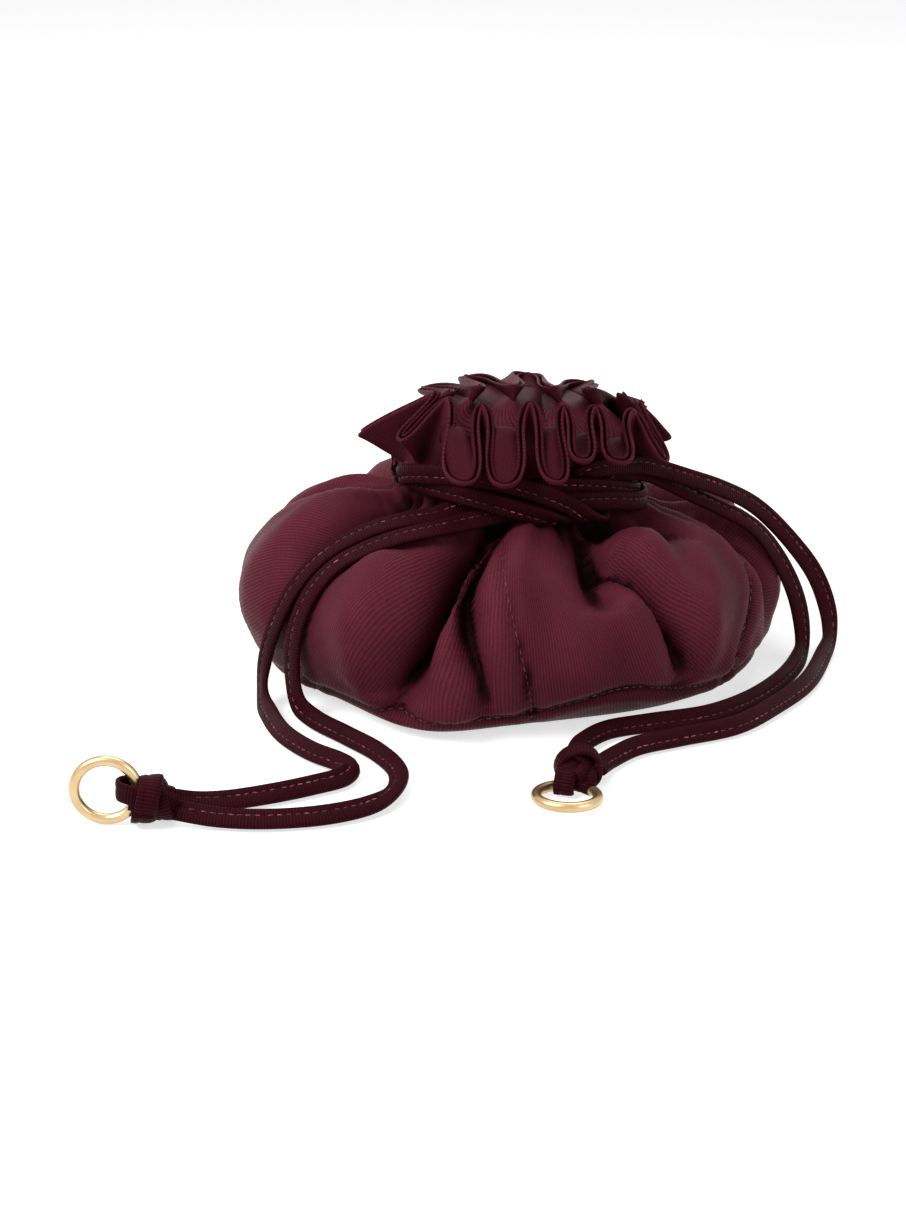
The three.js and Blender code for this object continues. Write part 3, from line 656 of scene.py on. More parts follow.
def fold_moves(angle, way_up, radius):
    """How far each vertex goes in, and sideways, for all the folds together, in millimetres."""
    inward = np.zeros(len(angle))
    sideways = np.zeros(len(angle))
    for line in VALLEYS + SWELLS:
        distance, side, values = near_line(angle, way_up, radius, line)
        depth, width = values[:, 0], np.maximum(values[:, 1], 1)
        reach = distance / width
        inward += depth * np.exp(-reach ** 1.7)
        valley = np.maximum(depth, 0)
        inward -= 0.22 * valley * np.exp(-((reach - 2) ** 2))
        sideways -= side * 0.2 * valley * np.exp(-((reach - 1.1) ** 2) * 2)
    for i, centre in enumerate(GATHERS):
        away = np.radians(wrapped(angle - centre)) * radius
        start = 56 + 9 * math.sin(7.1 * i)
        deep = 2.4 + 0.8 * math.sin(4.3 * i)
        inward += deep * step(way_up, start, 84) * np.exp(-np.abs(away / 1.9) ** 1.6)
    for line in SEAMS:
        distance, side, values = near_line(angle, way_up, radius, line)
        inward += 1.5 * np.exp(-(distance / 1.3) ** 2) - 0.5 * np.exp(-((distance - 4.5) / 2.2) ** 2)
    from_ring = np.abs(way_up - base_seam_at(angle))
    inward += 1.3 * np.exp(-(from_ring / 1.4) ** 2) - 0.5 * np.exp(-((from_ring - 4.2) / 2) ** 2)
    return inward, sideways


# %% Where each vertex of the gathered cloth lies
def gathered(angle, out):
    """Places, in metres, of vertices at the given angles, in degrees, and ways out from the middle.

    The plain section is widened low down and lifted at the shoulder, then the folds push it in across
    its own slope, and last the neck is shifted and the round pressed a little flat.
    """
    way_up = np.maximum(out - BASE_RADIUS, 0)
    radius, height = side_at(way_up)
    radius = np.where(out < BASE_RADIUS, out, radius)
    low = 1 - step(way_up, 8, 34)
    radius = radius + humps_at(angle, SKIRT_HUMPS) * low * step(out, 20, BASE_RADIUS)
    height = height + humps_at(angle, SHOULDER_HUMPS) * step(way_up, 30, 62) * (1 - step(way_up, 76, 92))
    inward, sideways = fold_moves(angle, way_up, np.maximum(radius, 10))
    on_side = step(way_up, 3, 12) * (1 - 0.75 * step(way_up, NECK_START - 2, NECK_START + 6))
    inward, sideways = inward * on_side, sideways * on_side
    slope = np.gradient(smooth_side[:, 1:3], axis=0)
    slope /= np.maximum(np.hypot(*slope.T), 1e-6)[:, None]
    out_part = np.interp(way_up, smooth_side[:, 0], slope[:, 1])
    up_part = -np.interp(way_up, smooth_side[:, 0], slope[:, 0])
    radius = radius - inward * out_part
    height = height - inward * np.maximum(up_part, -0.4)
    upper = step(way_up, 50, 84)
    flatness = (7 + 4.5 * upper) * step(radius, 0, 30)
    turn = np.radians(angle) + sideways / np.maximum(radius, 20)
    x = NECK_SHIFT * upper + radius * np.cos(turn)
    y = (radius - flatness) * np.sin(turn)
    return np.stack([x, y, np.maximum(height, 0.05)], axis=1) * MM


# %% Spinning the round
WAYS_OUT = [*np.linspace(2, BASE_RADIUS, BASE_ROWS), *(BASE_RADIUS + np.linspace(0, TOP, SIDE_ROWS + 1)[1:])]


def spin(bm, geom, steps):
    bmesh.ops.spin(
        bm, geom=geom, cent=(0, 0, 0), axis=(0, 0, 1), angle=2 * math.pi, steps=steps, use_merge=True,
    )


def spun_chain(places, steps):
    """A chain of vertices, numbered in the row layer, spun once round the upright axis."""
    bm = bmesh.new()
    row_layer = bm.verts.layers.int.new("row")
    chain = []
    for row, place in enumerate(places):
        vert = bm.verts.new(place)
        vert[row_layer] = row
        chain.append(vert)
    edges = [bm.edges.new(pair) for pair in zip(chain, chain[1:])]
    spin(bm, chain + edges, steps)
    return bm, row_layer


def spin_round(name):
    """The flat round of cloth, with the flat cloth as its UV map and its outside faces out."""
    bm, row_layer = spun_chain([(out * MM, 0, 0) for out in WAYS_OUT], COLUMNS)
    column_layer = bm.verts.layers.int.new("column")
    uv = bm.loops.layers.uv.new("cloth")
    for vert in bm.verts:
        share = math.atan2(vert.co.y, vert.co.x) / (2 * math.pi) + 0.5
        vert[column_layer] = round(share * COLUMNS) % COLUMNS
    for face in bm.faces:
        face.smooth = True
        for loop in face.loops:
            loop[uv].uv = loop.vert.co.xy
    bmesh.ops.contextual_create(bm, geom=[e for e in bm.edges if e.is_boundary and e.verts[0][row_layer] == 0])
    bmesh.ops.recalc_face_normals(bm, faces=bm.faces)
    bm.faces.ensure_lookup_table()
    if bm.faces[0].normal.z > 0:
        bmesh.ops.reverse_faces(bm, faces=bm.faces)
    return new_piece(name, bm)


def int_layer(mesh, name):
    values = np.zeros(len(mesh.vertices), np.int32)
    mesh.attributes[name].data.foreach_get("value", values)
    return values


def write_places(mesh, places):
    mesh.vertices.foreach_set("co", places.astype(np.float32).ravel())
    mesh.update()


pouch_cloth = spin_round("pouch_cloth")
lining_cloth = spin_round("lining_cloth")
row_of = int_layer(pouch_cloth.data, "row")
column_of = int_layer(pouch_cloth.data, "column")
column_angles = -180 + 360 * np.arange(COLUMNS) / COLUMNS
grid_angle, grid_out = np.meshgrid(column_angles, np.array(WAYS_OUT))
cloth_grid = gathered(grid_angle.ravel(), grid_out.ravel()).reshape(len(WAYS_OUT), COLUMNS, 3)
write_places(pouch_cloth.data, cloth_grid[row_of, column_of])
add_material(pouch_cloth, satin)
base_down = pouch_cloth.data.polygons[-1].normal.z < 0
print("cloth:", len(pouch_cloth.data.vertices), "vertices, base faces down:", base_down)


# %% [markdown]
# ## Where the straps press
# A drawstring that lies on soft cloth sinks into it a little. Wherever a strap rests on the body,
# or would cut through a fold, the cloth below it is pushed in along its own normal, and the push
# fades out to both sides of the strap. The folds themselves are listed, not simulated.

# %% The straps press into the cloth
PRESS_DEPTH = 0.0014
PRESS_LIMIT = 0.008
PRESS_CORE, PRESS_REACH = 0.0036, 0.0085
PRESS_NEAR = 0.012
FIRST_PLACE = 14
LOWEST_WAY = 10


def blurred(grid, passes):
    """The grid with each place moved towards the middle of its neighbours, again and again."""
    out = grid.copy()
    for _ in range(passes):
        out = (np.roll(out, 1, axis=1) + np.roll(out, -1, axis=1) + 2 * out) / 4
        out[1:-1] = (out[:-2] + out[2:] + 2 * out[1:-1]) / 4
    return out


def pressed(grid, ways):
    """The cloth pushed in wherever a strap lies on it or would cut through it."""
    wide = blurred(grid, 12)
    normals = np.cross(np.roll(wide, -1, axis=1) - np.roll(wide, 1, axis=1), np.gradient(wide, axis=0))
    normals /= np.maximum(np.linalg.norm(normals, axis=2), 1e-12)[..., None]
    push = np.zeros(grid.shape[:2])
    for strap in straps.values():
        for place in strap["places"][FIRST_PLACE::2]:
            away = grid - np.array(place.translation)
            height = (away * normals).sum(axis=2)
            aside = np.linalg.norm(away - height[..., None] * normals, axis=2)
            share = 1 - step(aside, PRESS_CORE, PRESS_REACH)
            share[(np.abs(height) > PRESS_NEAR) | (ways < LOWEST_WAY)] = 0
            push = np.maximum(push, np.clip(height + PRESS_DEPTH, 0, PRESS_LIMIT) * share)
    print("straps press", int((push > 0.0002).sum()), "vertices in, at most", round(float(push.max() * 1000), 1), "mm")
    return grid - push[..., None] * normals


cloth_grid = pressed(cloth_grid, grid_out - BASE_RADIUS)
write_places(pouch_cloth.data, cloth_grid[row_of, column_of])


# %% [markdown]
# ## The cloth as a grid
# From here on the folded cloth is read as a grid of places, one row for each way out and one
# column for each direction. The lining, the stitches and the painted light and shade of the folds
# all read it, so they follow every fold.

# %% Reading the grid
def cloth_at(angle, out):
    """Places on the folded cloth, in metres, at angles in degrees and ways out in millimetres."""
    row = np.interp(out, WAYS_OUT, np.arange(len(WAYS_OUT)))
    column = (np.asarray(angle) + 180) % 360 * COLUMNS / 360
    r0 = np.minimum(row.astype(int), len(WAYS_OUT) - 2)
    c0 = column.astype(int) % COLUMNS
    c1 = (c0 + 1) % COLUMNS
    across_rows, across_columns = (row - r0)[..., None], (column - column.astype(int))[..., None]
    low = cloth_grid[r0, c0] * (1 - across_columns) + cloth_grid[r0, c1] * across_columns
    high = cloth_grid[r0 + 1, c0] * (1 - across_columns) + cloth_grid[r0 + 1, c1] * across_columns
    return low * (1 - across_rows) + high * across_rows


def cloth_normals(angle, out):
    round_it = cloth_at(angle + 1, out) - cloth_at(angle - 1, out)
    upward = cloth_at(angle, out + 0.9) - cloth_at(angle, out - 0.9)
    normal = np.cross(round_it, upward)
    return normal / np.maximum(np.linalg.norm(normal, axis=-1), 1e-9)[..., None]


# %% Painted light and shade: ridges painted lighter as painted highlight, valleys, seams and strap grooves painted darker as painted shade
normals = cloth_normals(grid_angle, np.clip(grid_out, WAYS_OUT[0] + 1, WAYS_OUT[-1] - 1))
stand_out = ((cloth_grid - blurred(cloth_grid, 30)) * normals).sum(axis=2) / MM
# painted highlight on ridges that stand out, painted shade in hollows
painted_light_and_shade = 0.3 * np.tanh(stand_out / 1.6)
flat_angle, flat_way = grid_angle.ravel(), (grid_out - BASE_RADIUS).ravel()
flat_radius = np.hypot(cloth_grid[..., 0], cloth_grid[..., 1]).ravel() / MM
# painted shade in the creases along the seams
for line in SEAMS:
    distance = near_line(flat_angle, flat_way, flat_radius, line)[0].reshape(painted_light_and_shade.shape)
    painted_light_and_shade -= 0.4 * np.exp(-(distance / 1.0) ** 2)
# painted shade in the crease of the ring seam round the base
painted_light_and_shade -= 0.4 * np.exp(-((grid_out - BASE_RADIUS - base_seam_at(grid_angle)) / 1.0) ** 2)
# painted shade: deep valleys and the grooves under the straps go darker, down to almost black
painted_light_and_shade -= 0.8 * step(-stand_out, 0.2, 2.2)
painted_light_layer = pouch_cloth.data.attributes.new("painted_light_layer", "FLOAT", "POINT")
painted_light_layer.data.foreach_set("value", painted_light_and_shade[row_of, column_of].astype(np.float32))
print("wear from", round(float(painted_light_and_shade.min()), 2), "to", round(float(painted_light_and_shade.max()), 2))


# %% [markdown]
# ## Frill
# Above the drawstrings the two rounds of cloth stand up together and flare into a ruffle of deep
# lobes, and their sewn rims show as two rounded lips with a groove between. The rim is planned
# first: a row for each lobe gives its low outer tip and the high inner turn after it. Each lobe
# then follows the same loop between two turns, pinched at its throat, so that neighbours touch.
# The sheet between neck and rim is a bundle of curves, one for each column of vertices.

# %% Rim of the frill in millimetres: outer tip, inner turn after it, width, and how straight it flares
LOBES = [
    ((-44, -7, 71.5), (-21.5, -13.5, 86.5), 1.6, 1), ((-32, -22, 75), (-18, -20.5, 86.5), 0.8, 0.9),
    ((-14.6, -42.5, 68.2), (-8.2, -27, 86.5), 0.98, 0), ((-1.8, -43.5, 67.6), (6, -29, 88), 1.0, 0),
    ((12.6, -42.5, 68.4), (15.4, -29, 86.5), 1.0, 0), ((20.8, -38.5, 73.5), (24.4, -27, 86), 0.95, 0),
    ((31.4, -36.5, 72.5), (36, -21, 83), 0.9, 0.2), ((46, -22, 68.5), (38.5, -8, 82), 1.0, 0.8),
    ((47.5, 0, 68.5), (34, 2, 81), 1.1, 0.7), ((39, 21, 71.5), (24, -3, 84), 0.95, 0.4),
    ((24, 37, 74), (12.5, -7, 85.5), 0.95, 0.35), ((6, 40, 76), (1.5, -9, 86.5), 0.9, 0.3),
    ((-11, 37, 76), (-9, -8, 86), 0.95, 0.3), ((-24, 28, 75), (-17.5, -4.5, 83.5), 0.9, 0.2),
]
LOBE_LOOP = [
    (-1, 0), (-0.84, 0.02), (-0.68, 0.11), (-0.6, 0.26), (-0.62, 0.48), (-0.68, 0.68), (-0.58, 0.87), (-0.32, 0.97),
    (0, 1), (0.32, 0.98), (0.6, 0.88), (0.7, 0.68), (0.6, 0.46), (0.56, 0.26), (0.66, 0.1), (0.84, 0.02), (1, 0),
]
LOBE_COLUMNS = 36
FRILL_FOOT = 63.6
NECK_RADIUS = 37.4
NECK_FLATNESS = 11.5


def rim_line():
    """Rows of the rim: place in millimetres, direction round the neck, height of the turns beside it, flare."""
    rows = []
    loop = through([(a * MM, b * MM, 0) for a, b in LOBE_LOOP], LOBE_COLUMNS + 1)[0][:-1] / MM
    for i, (tip, _, width, flare) in enumerate(LOBES):
        before, after = np.array(LOBES[i - 1][1], float), np.array(LOBES[i][1], float)
        tip = np.array(tip, float)
        middle = (before + after) / 2
        start = math.atan2(before[1], before[0] - NECK_SHIFT)
        end = math.atan2(after[1], after[0] - NECK_SHIFT)
        turned = (end - start) % (2 * math.pi)
        beside = np.subtract(LOBES[(i + 1) % len(LOBES)][0], LOBES[i - 1][0])
        fan = np.clip(np.linalg.norm(beside) / 2 / np.linalg.norm(after - before), 1, 1.7)
        for k, (a, b, _) in enumerate(loop):
            share = 1 - (1 - width) * math.sin(math.pi * min(b, 1)) if abs(a) < 1 else 1
            share *= 1 + (1 - flare) * (fan - 1) * b
            place = middle + (after - before) / 2 * a * share + b * (tip - middle)
            crest = before[2] + (after[2] - before[2]) * k / LOBE_COLUMNS
            rows.append((*place, start + turned * k / LOBE_COLUMNS, crest, flare * min(b, 1)))
    rows = np.array(rows)
    rows[:, :3] = softened(rows[:, :3], 3)
    return rows


def softened(ring, passes):
    """A closed row of values with its sharp places evened out."""
    for _ in range(passes):
        ring = (np.roll(ring, 1, axis=0) + np.roll(ring, -1, axis=0) + 2 * ring) / 4
    return ring


rim = rim_line()
FRILL_COLUMNS = len(rim)
rim_length = np.linalg.norm(np.diff(rim[:, :3], axis=0), axis=1).sum()
print("rim of the frill:", round(float(rim_length)), "mm round,", FRILL_COLUMNS, "columns")


# %% Middle surface of the frill
def frill_middle(height):
    """Places in millimetres, one for each column, at a share of the way from neck to rim."""
    turn = rim[:, 3]
    foot = np.stack([
        NECK_SHIFT + (NECK_RADIUS - 0.8) * np.cos(turn),
        (NECK_RADIUS - 0.8 - NECK_FLATNESS) * np.sin(turn),
        np.full(len(turn), FRILL_FOOT),
    ], axis=1)
    top = rim[:, :3]
    reach = top - foot
    low = np.maximum(rim[:, 4] - top[:, 2], 0)
    rise, droop = foot + reach * [0.12, 0.12, 0], foot + reach * [0.84, 0.84, 0]
    rise[:, 2] = FRILL_FOOT + 8 + 1.6 * low
    droop[:, 2] = top[:, 2] - 7 + 0.13 * low
    flare = rim[:, 5:6]
    rise = (1 - flare) * rise + flare * (foot + reach * 0.3)
    droop = (1 - flare) * droop + flare * (foot + reach * 0.7)
    h = height
    return (1 - h) ** 3 * foot + 3 * h * (1 - h) ** 2 * rise + 3 * h * h * (1 - h) * droop + h ** 3 * top


def frill_normal(height):
    upward = frill_middle(height + 0.01) - frill_middle(height - 0.01)
    here = frill_middle(height)
    round_it = np.roll(here, -1, axis=0) - np.roll(here, 1, axis=0)
    normal = np.cross(round_it, upward)
    normal = softened(normal / np.linalg.norm(normal, axis=1)[:, None], 2)
    return normal / np.linalg.norm(normal, axis=1)[:, None]


# %% Section of each layer: share of the height, and distance from the middle in millimetres
LIP = [(0.96, 1.2), (0.995, 1.34), (1.03, 1.22), (1.048, 0.85), (1.035, 0.5), (1.0, 0.3), (0.965, 0.26)]
LAYER = [
    (-0.02, 0.7), (0.06, 0.7), (0.16, 0.7), (0.28, 0.75), (0.4, 0.8), (0.52, 0.84), (0.64, 0.88), (0.76, 0.94),
    (0.87, 1.04), *LIP,
]
FRILL_HEIGHT = 0.02
FRILL_MIDDLE = Vector((0.003, 0, 0.075))
CLOTH_THICKNESS = 0.0004


def give_thickness(piece, thickness):
    wall = piece.modifiers.new("thickness", "SOLIDIFY")
    wall.thickness = thickness
    wall.offset = -1


def frill_layer(name, side, material):
    """One layer of the frill: side 1 is the outer cloth, -1 the lining."""
    bm, row_layer = spun_chain([(0.05, 0, height * FRILL_HEIGHT) for height, _ in LAYER], FRILL_COLUMNS)
    column_layer = bm.verts.layers.int.new("column")
    for vert in bm.verts:
        turn = math.atan2(vert.co.y, vert.co.x) / (2 * math.pi) % 1
        vert[column_layer] = round(turn * FRILL_COLUMNS) % FRILL_COLUMNS
    spots = [(frill_middle(h) + side * off * frill_normal(h)) * MM for h, off in LAYER]
    uv = bm.loops.layers.uv.new("cloth")
    uv_radius = rim_length * MM / (2 * math.pi)
    for face in bm.faces:
        face.smooth = True
        for loop in face.loops:
            turn = loop.vert[column_layer] / FRILL_COLUMNS * 2 * math.pi
            out = uv_radius + LAYER[loop.vert[row_layer]][0] * FRILL_HEIGHT
            loop[uv].uv = (out * math.cos(turn), out * math.sin(turn))
    for vert in bm.verts:
        vert.co = spots[vert[row_layer]][vert[column_layer]]
    bmesh.ops.recalc_face_normals(bm, faces=bm.faces)
    outward = sum(face.normal.dot(face.calc_center_median() - FRILL_MIDDLE) for face in bm.faces)
    if outward * side < 0:
        bmesh.ops.reverse_faces(bm, faces=bm.faces)
    piece = new_piece(name, bm, material)
    give_thickness(piece, CLOTH_THICKNESS)
    smooth = piece.modifiers.new("smooth", "SUBSURF")
    smooth.levels = smooth.render_levels = 1
    return piece


frill_outer = frill_layer("frill_outer", 1, satin)
frill_lining = frill_layer("frill_lining", -1, satin_lining)
print("frill:", len(frill_outer.data.vertices), "vertices in each layer")


# %% [markdown]
# ## Lining
# The lining is a second round of the same cloth inside the first. It follows every fold, so it is
# made by the same spin and the same moves, and then goes a little way in along the normals.

# %% Lining
LINING_GAP = 0.0011
CHANNEL_ROOM = 0.0024
LINING_FLOOR = 0.0012
in_channel = step(grid_out, BASE_RADIUS + 84, BASE_RADIUS + 89)
lining_grid = cloth_grid - (LINING_GAP + CHANNEL_ROOM * in_channel)[..., None] * normals
lining_grid[..., 2] = np.maximum(lining_grid[..., 2], LINING_FLOOR)
write_places(lining_cloth.data, lining_grid[row_of, column_of])
lining_cloth.data.flip_normals()
add_material(lining_cloth, satin_lining)


# %% [markdown]
# ## Slits and channel
# Each drawstring comes out of a slit in the neck, a raw cut with a slightly frayed lip. The faces
# there are taken out of the round, and the vertices round the hole are pushed out unevenly. Behind
# it, between cover and lining, the drawstring runs all the way round the neck.

# %% Slits: direction and height of the middle, half the width in degrees, half the height
SLITS = [(-169, 59.6, 19, 3.4), (-14, 54.6, 12, 3.2)]
COVER_THICKNESS = 0.0005


def cut_slits(piece):
    bm = bmesh.new()
    bm.from_mesh(piece.data)
    row, column = bm.verts.layers.int["row"], bm.verts.layers.int["column"]

    def spot(vert):
        return column_angles[vert[column]], WAYS_OUT[vert[row]] - BASE_RADIUS

    for centre, height, wide, high in SLITS:
        way = float(np.interp(height, smooth_side[-60:, 2], smooth_side[-60:, 0]))
        doomed = []
        for face in bm.faces:
            if len(face.verts) != 4 or face.verts[0][row] < len(WAYS_OUT) - 20:
                continue
            a, s = np.mean([spot(v) for v in face.verts], axis=0)
            if (wrapped(a - centre) / wide) ** 2 + ((s - way) / high) ** 2 < 1:
                doomed.append(face)
        bmesh.ops.delete(bm, geom=doomed, context="FACES")
        for vert in bm.verts:
            on_hole = vert.is_boundary and 0 < vert[row] < len(WAYS_OUT) - 1
            if on_hole and abs(wrapped(spot(vert)[0] - centre)) < wide + 4:
                away = Vector((vert.co.x - NECK_SHIFT * MM, vert.co.y, 0)).normalized()
                vert.co += away * (0.0006 + 0.0012 * noise.noise(vert.co * 900))
                vert.co.z += 0.0008 * noise.noise(vert.co * 700)
    bm.to_mesh(piece.data)
    bm.free()


cut_slits(pouch_cloth)
give_thickness(pouch_cloth, COVER_THICKNESS)
give_thickness(lining_cloth, CLOTH_THICKNESS)


# %% Drawstrings inside the channel
CHANNEL_RADIUS = 35.3


def channel_route(start, height):
    """Nearly a whole turn round the neck, from just after a slit to just before it."""
    rows = []
    for i in range(49):
        turn = math.radians(start + 3 + (354 * i) / 48)
        rows.append((
            (NECK_SHIFT + CHANNEL_RADIUS * math.cos(turn)) * MM,
            (CHANNEL_RADIUS - NECK_FLATNESS) * math.sin(turn) * MM,
            height * MM, math.cos(turn), math.sin(turn), 0,
        ))
    return rows


channel_straps = {}
for name, start, height in (("channel_a", 180, 60.4), ("channel_b", 0, 54.4)):
    places, length = strap_places(channel_route(start, height), 0.002)
    channel_straps[name] = add_material(sweep(name, STRAP_SECTION, places), strap_satin)
    print(name, "runs", round(length * 1000), "mm inside the channel")


# %% [markdown]
# ## Rings
# Each ring is a plain brass wire ring, brushed along the wire. A circle is spun round the middle of
# the ring, and the UV map runs along and round the wire, so the brushing follows it.

# %% Rings
RING_RADIUS = 0.0085
WIRE_RADIUS = 0.0015


def make_ring(name, node, turn):
    low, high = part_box(node)
    middle = (Vector(low) + Vector(high)) / 2
    bm = bmesh.new()
    around = bm.verts.layers.float.new("around")
    section = bmesh.ops.create_circle(bm, segments=24, radius=WIRE_RADIUS)["verts"]
    for vert in section:
        vert[around] = math.atan2(vert.co.y, vert.co.x) % (2 * math.pi)
    bmesh.ops.rotate(bm, verts=section, cent=(0, 0, 0), matrix=Matrix.Rotation(math.pi / 2, 3, "X"))
    bmesh.ops.translate(bm, verts=section, vec=(RING_RADIUS, 0, 0))
    spin(bm, bm.verts[:] + bm.edges[:], 96)
    bmesh.ops.recalc_face_normals(bm, faces=bm.faces)
    uv = bm.loops.layers.uv.new("cloth")
    for face in bm.faces:
        face.smooth = True
        turns = [math.atan2(loop.vert.co.y, loop.vert.co.x) % (2 * math.pi) for loop in face.loops]
        sides = [loop.vert[around] for loop in face.loops]
        for loop, t, s in zip(face.loops, turns, sides):
            t += 2 * math.pi if max(turns) - min(turns) > math.pi and t < math.pi else 0
            s += 2 * math.pi if max(sides) - min(sides) > math.pi and s < math.pi else 0
            loop[uv].uv = (t * RING_RADIUS, s * WIRE_RADIUS)
    bmesh.ops.transform(bm, matrix=Matrix.Translation(middle) @ turn.to_4x4(), verts=bm.verts)
    return new_piece(name, bm, brass)


LEAN = Matrix.Rotation(math.radians(4), 3, Vector((-0.939693, 0.34202, 0)))
right_ring = make_ring("right_brass_ring", "ring_a", LEAN)
left_ring = make_ring("left_brass_ring", "ring_b", Matrix.Rotation(math.pi / 2, 3, "X"))


# %% [markdown]
# ## Knots
# At its end each drawstring is folded through its ring and tied in one tight knot. The knot is
# built from the same swept strap: a loop through the ring, two bands that wrap the bundle at
# different slants, and a thick core that is the hidden inside of the knot. They are joined into
# one mesh. The bands stand clear of the room in which the ring swings.

# %% Knots
def band_route(centre, half_y, half_z, slant, lean=0.0, start=200.0, turn=390.0):
    """A strap that wraps a bundle lying along X; it slants along X and swells a little."""
    rows = []
    for i in range(31):
        share = i / 30
        a = math.radians(start + turn * share)
        swell = 1 + 0.07 * math.sin(2.3 * a) + 0.06 * share
        x = centre[0] + slant * math.sin(a + lean) + 0.6 * (share - 0.5)
        rows.append((
            x * MM, (centre[1] + half_y * swell * math.cos(a)) * MM,
            (centre[2] + half_z * swell * math.sin(a)) * MM, 0, math.cos(a), math.sin(a),
        ))
    return rows


def turned_rows(rows, centre, angle):
    """The same route turned about the upright line through a centre, in millimetres."""
    c, s = math.cos(math.radians(angle)), math.sin(math.radians(angle))
    out = []
    for x, y, z, fx, fy, fz in rows:
        dx, dy = x - centre[0] * MM, y - centre[1] * MM
        out.append((centre[0] * MM + c * dx - s * dy, centre[1] * MM + s * dx + c * dy, z,
                    c * fx - s * fy, s * fx + c * fy, fz))
    return out


def in_metres(rows):
    return [(x * MM, y * MM, z * MM, *face) for x, y, z, *face in rows]


def scaled_section(wide, thick):
    return [(x * wide, y * thick) for x, y in STRAP_SECTION]


def make_knot(name, parts):
    """One mesh of several swept straps, each with its route, width and thickness."""
    pieces = [
        sweep(f"{name}_{i}", scaled_section(wide, thick), strap_places(route, 0.0008)[0])
        for i, (route, wide, thick) in enumerate(parts)
    ]
    bm = bmesh.new()
    for piece in pieces:
        bm.from_mesh(piece.data)
        bpy.data.meshes.remove(piece.data)
    return new_piece(name, bm, strap_satin)


LEFT_KNOT = (-98.6, -127.4, 7.4)
left_knot = make_knot("left_knot", [
    (in_metres([
        (-95, -130.6, 7.6, 0, -1, 0.1), (-99, -131.3, 9, -0.1, -1, 0.1), (-103, -131, 10, -0.3, -1, 0),
        (-105.7, -129.6, 10.3, -0.9, -0.5, 0), (-106.3, -127.6, 10.3, -1, 0, 0),
        (-105.5, -125.6, 10.2, -0.9, 0.5, 0), (-103, -124.4, 9.9, -0.3, 1, 0), (-99, -123.8, 9, 0, 1, 0.1),
        (-95, -124.2, 7.4, 0, 1, 0.1),
    ]), 1.0, 0.9),
    (turned_rows(band_route(LEFT_KNOT, 5.3, 5.9, 1.4, 0.4), LEFT_KNOT, 6), 1.08, 1.0),
    (turned_rows(band_route((-95.4, -126.4, 6.8), 4.7, 5.0, -1.5, 0.2, 60), LEFT_KNOT, 4), 0.95, 1.0),
    (in_metres([
        (-103.2, -127.6, 8.6, 0, 0, 1), (-100, -127.5, 8, 0, 0, 1), (-96, -126.8, 6.8, 0, 0, 1),
        (-92.5, -125.6, 5.2, 0, 0, 1),
    ]), 1.35, 4.2),
])
RIGHT_KNOT = (18.6, -104.2, 6.4)
right_knot = make_knot("right_knot", [
    (in_metres([
        (16.8, -102.5, 6.2, 0, 0, 1), (15.6, -105.4, 7.9, 0, -0.3, 1), (14.4, -108.4, 6.8, -0.2, -0.8, 0.6),
        (13.7, -110.3, 4.4, -0.3, -1, 0.3), (13.5, -110.9, 2.2, -0.3, -1, 0), (13.7, -110.6, 1.1, -0.3, -0.9, -0.3),
    ]), 1.0, 0.85),
    (in_metres([
        (20.5, -101.8, 5.4, 0.2, 0, 1), (20.4, -104.6, 7.2, 0.2, -0.3, 1), (20.2, -107.3, 6.0, 0, -0.8, 0.6),
        (19.8, -109.2, 3.8, -0.1, -1, 0.3), (19.4, -109.8, 2.0, -0.2, -1, 0), (19.3, -109.4, 1.1, -0.3, -0.9, -0.3),
    ]), 0.95, 0.85),
    (turned_rows(band_route((18.2, -103.4, 6.2), 5.2, 5.0, 1.0, 0.4, 160, 380), RIGHT_KNOT, 96), 1.0, 1.0),
    (turned_rows(band_route((20.6, -102.6, 5.6), 4.6, 4.4, -1.6, 0.1, 40, 380), RIGHT_KNOT, 60), 1.0, 1.0),
    (in_metres([
        (15.6, -107.8, 4.6, 0, 0, 1), (17.2, -105.4, 5.6, 0, 0, 1), (19, -102.5, 5.6, 0, 0, 1),
        (20.5, -99.6, 5.2, 0, 0, 1),
    ]), 1.4, 3.9),
])
print("knots:", left_knot.name, right_knot.name)


# %% [markdown]
# ## Stitches
# The stitches catch the light as small pinkish dashes, 2.6 mm apart. One is a stretched ball of a
# few dozen faces, sunk halfway into the cloth, and copies of it are placed along each line: both
# faces of every strap, the seams that radiate from the base, and the ring round the base.

# %% Stitches
STITCH_PITCH = 0.0026
STITCH_HALF = 0.00088
STITCH_FACE = 0.00068
STITCH_RISE = 0.00016
bm = bmesh.new()
bmesh.ops.create_uvsphere(bm, u_segments=6, v_segments=5, radius=1)
for face in bm.faces:
    face.smooth = True
one_ball = new_mesh("one stitch", bm)


def stitches(name, places, material, thick=0.0002):
    """One mesh of stretched balls, each leaning and sized a little differently from the one before."""
    bm = bmesh.new()
    for i, place in enumerate(places):
        lean = Matrix.Rotation(0.12 * math.sin(5.1 * i), 4, "Y")
        size = Matrix.Diagonal((thick * 1.15, thick * 0.8, STITCH_HALF * (1 + 0.1 * math.sin(3.3 * i)), 1))
        mesh = one_ball.copy()
        mesh.transform(place @ lean @ size)
        bm.from_mesh(mesh)
        bpy.data.meshes.remove(mesh)
    return new_piece(name, bm, material)


strap_threads = {}
for name, strap in straps.items():
    every = STITCH_PITCH / (strap["length"] / (len(strap["places"]) - 1))
    spots = []
    for k in range(2, int((len(strap["places"]) - 1) / every) - 1):
        near = strap["places"][round(k * every)]
        for side in (1, -1):
            spots.append(near @ Matrix.Translation((STITCH_LINE, side * STITCH_FACE, 0)))
    strap_threads[name] = stitches(f"{name}_thread", spots, thread)
    print(name, "has", len(spots), "stitches")


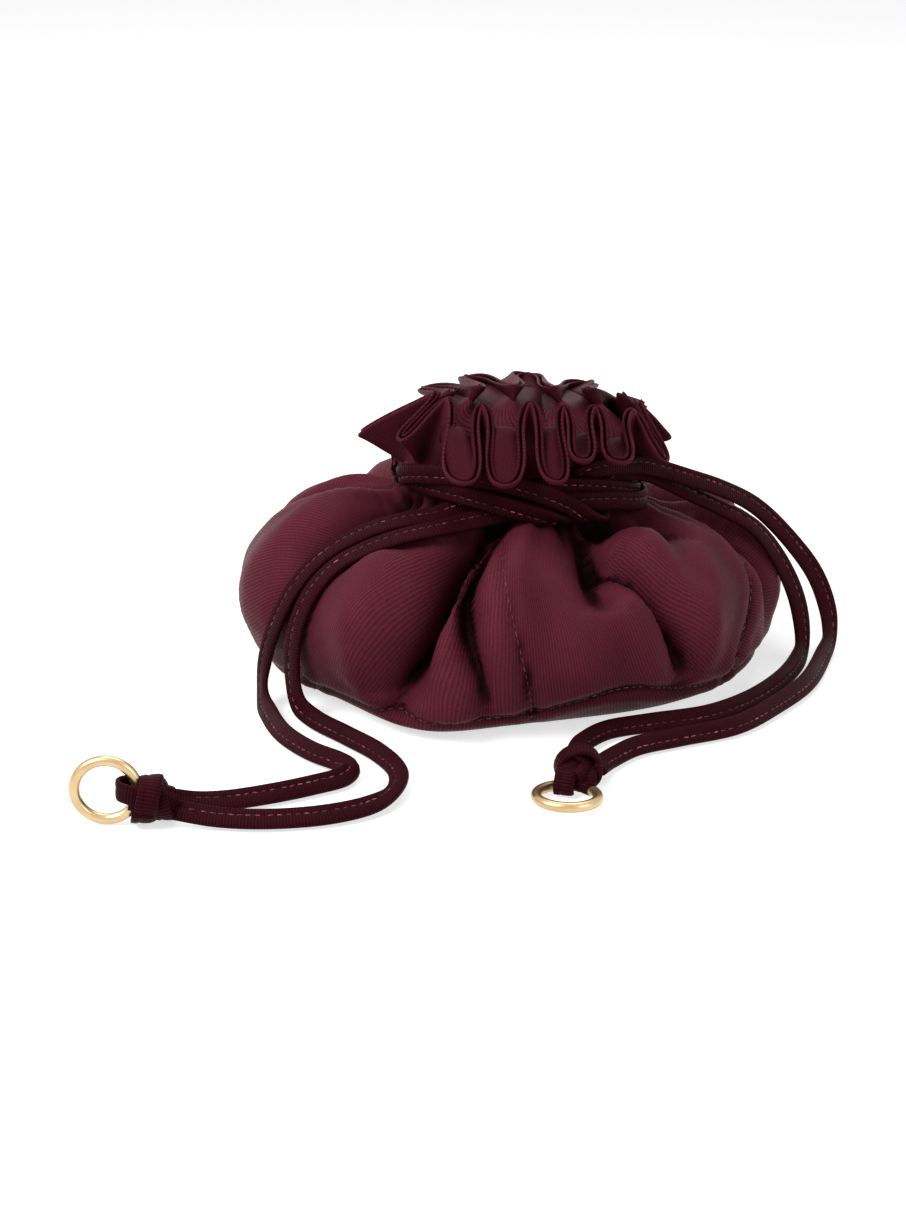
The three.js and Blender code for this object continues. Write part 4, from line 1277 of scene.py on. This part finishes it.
def seam_places(line):
    """Places of stitches along a line on the cloth: Y out of the cloth, Z along the line."""
    drum = [(0.07 * math.cos(math.radians(a)), 0.07 * math.sin(math.radians(a)), s * MM) for a, s in line]
    fine = through(drum, 400)[0]
    angle = np.degrees(np.unwrap(np.arctan2(fine[:, 1], fine[:, 0])))
    out = BASE_RADIUS + fine[:, 2] / MM
    spots = cloth_at(angle, out)
    normals = cloth_normals(angle, out)
    run = np.concatenate([[0], np.cumsum(np.linalg.norm(np.diff(spots, axis=0), axis=1))])
    places = []
    for k in range(int(run[-1] / STITCH_PITCH)):
        i = int(np.searchsorted(run, (k + 0.5) * STITCH_PITCH))
        i = min(max(i, 1), len(run) - 2)
        along = Vector(spots[i + 1] - spots[i - 1]).normalized()
        out_way = Vector(normals[i]).normalized()
        across = out_way.cross(along).normalized()
        out_way = along.cross(across)
        turn = Matrix((across, out_way, along)).transposed().to_4x4()
        places.append(Matrix.Translation(Vector(spots[i]) + STITCH_RISE * out_way) @ turn)
    return places


seam_spots = [place for line in SEAMS for place in seam_places(line)]
seam_spots += seam_places([(a, float(base_seam_at(a))) for a in range(-180, 181, 6)])
seam_stitches = stitches("seam_thread", seam_spots, seam_thread, 0.00017)
print("seams:", len(seam_spots), "stitches")

# %% What rides on what
for strap, node in (
    ("strap_a1", "drawstring_a_strand_1"), ("strap_a2", "drawstring_a_strand_2"),
    ("strap_b1", "drawstring_b_strand_1"), ("strap_b2", "drawstring_b_strand_2"),
):
    made = straps[strap]
    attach(made["piece"], "pouch")
    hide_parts(node)
    line = [tuple(p.translation) for p in made["places"]]
for piece, node, slot in (
    (pouch_cloth, "outer_cover", "satin_cloth"), (frill_outer, "outer_cover", "satin_cloth"),
    (lining_cloth, "lining", "lining_cloth"), (frill_lining, "lining", "lining_cloth"),
    (channel_straps["channel_a"], "drawstring_a_channel", "satin_strap"),
    (channel_straps["channel_b"], "drawstring_b_channel", "satin_strap"),
    (right_knot, "drawstring_a_knot", "satin_strap"), (left_knot, "drawstring_b_knot", "satin_strap"),
):
    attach(piece, "pouch")
    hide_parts(node)
for piece, body, node in ((right_ring, "right_ring", "ring_a"), (left_ring, "left_ring", "ring_b")):
    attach(piece, body)
    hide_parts(node)
for piece in (*strap_threads.values(), seam_stitches):
    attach(piece, "pouch")
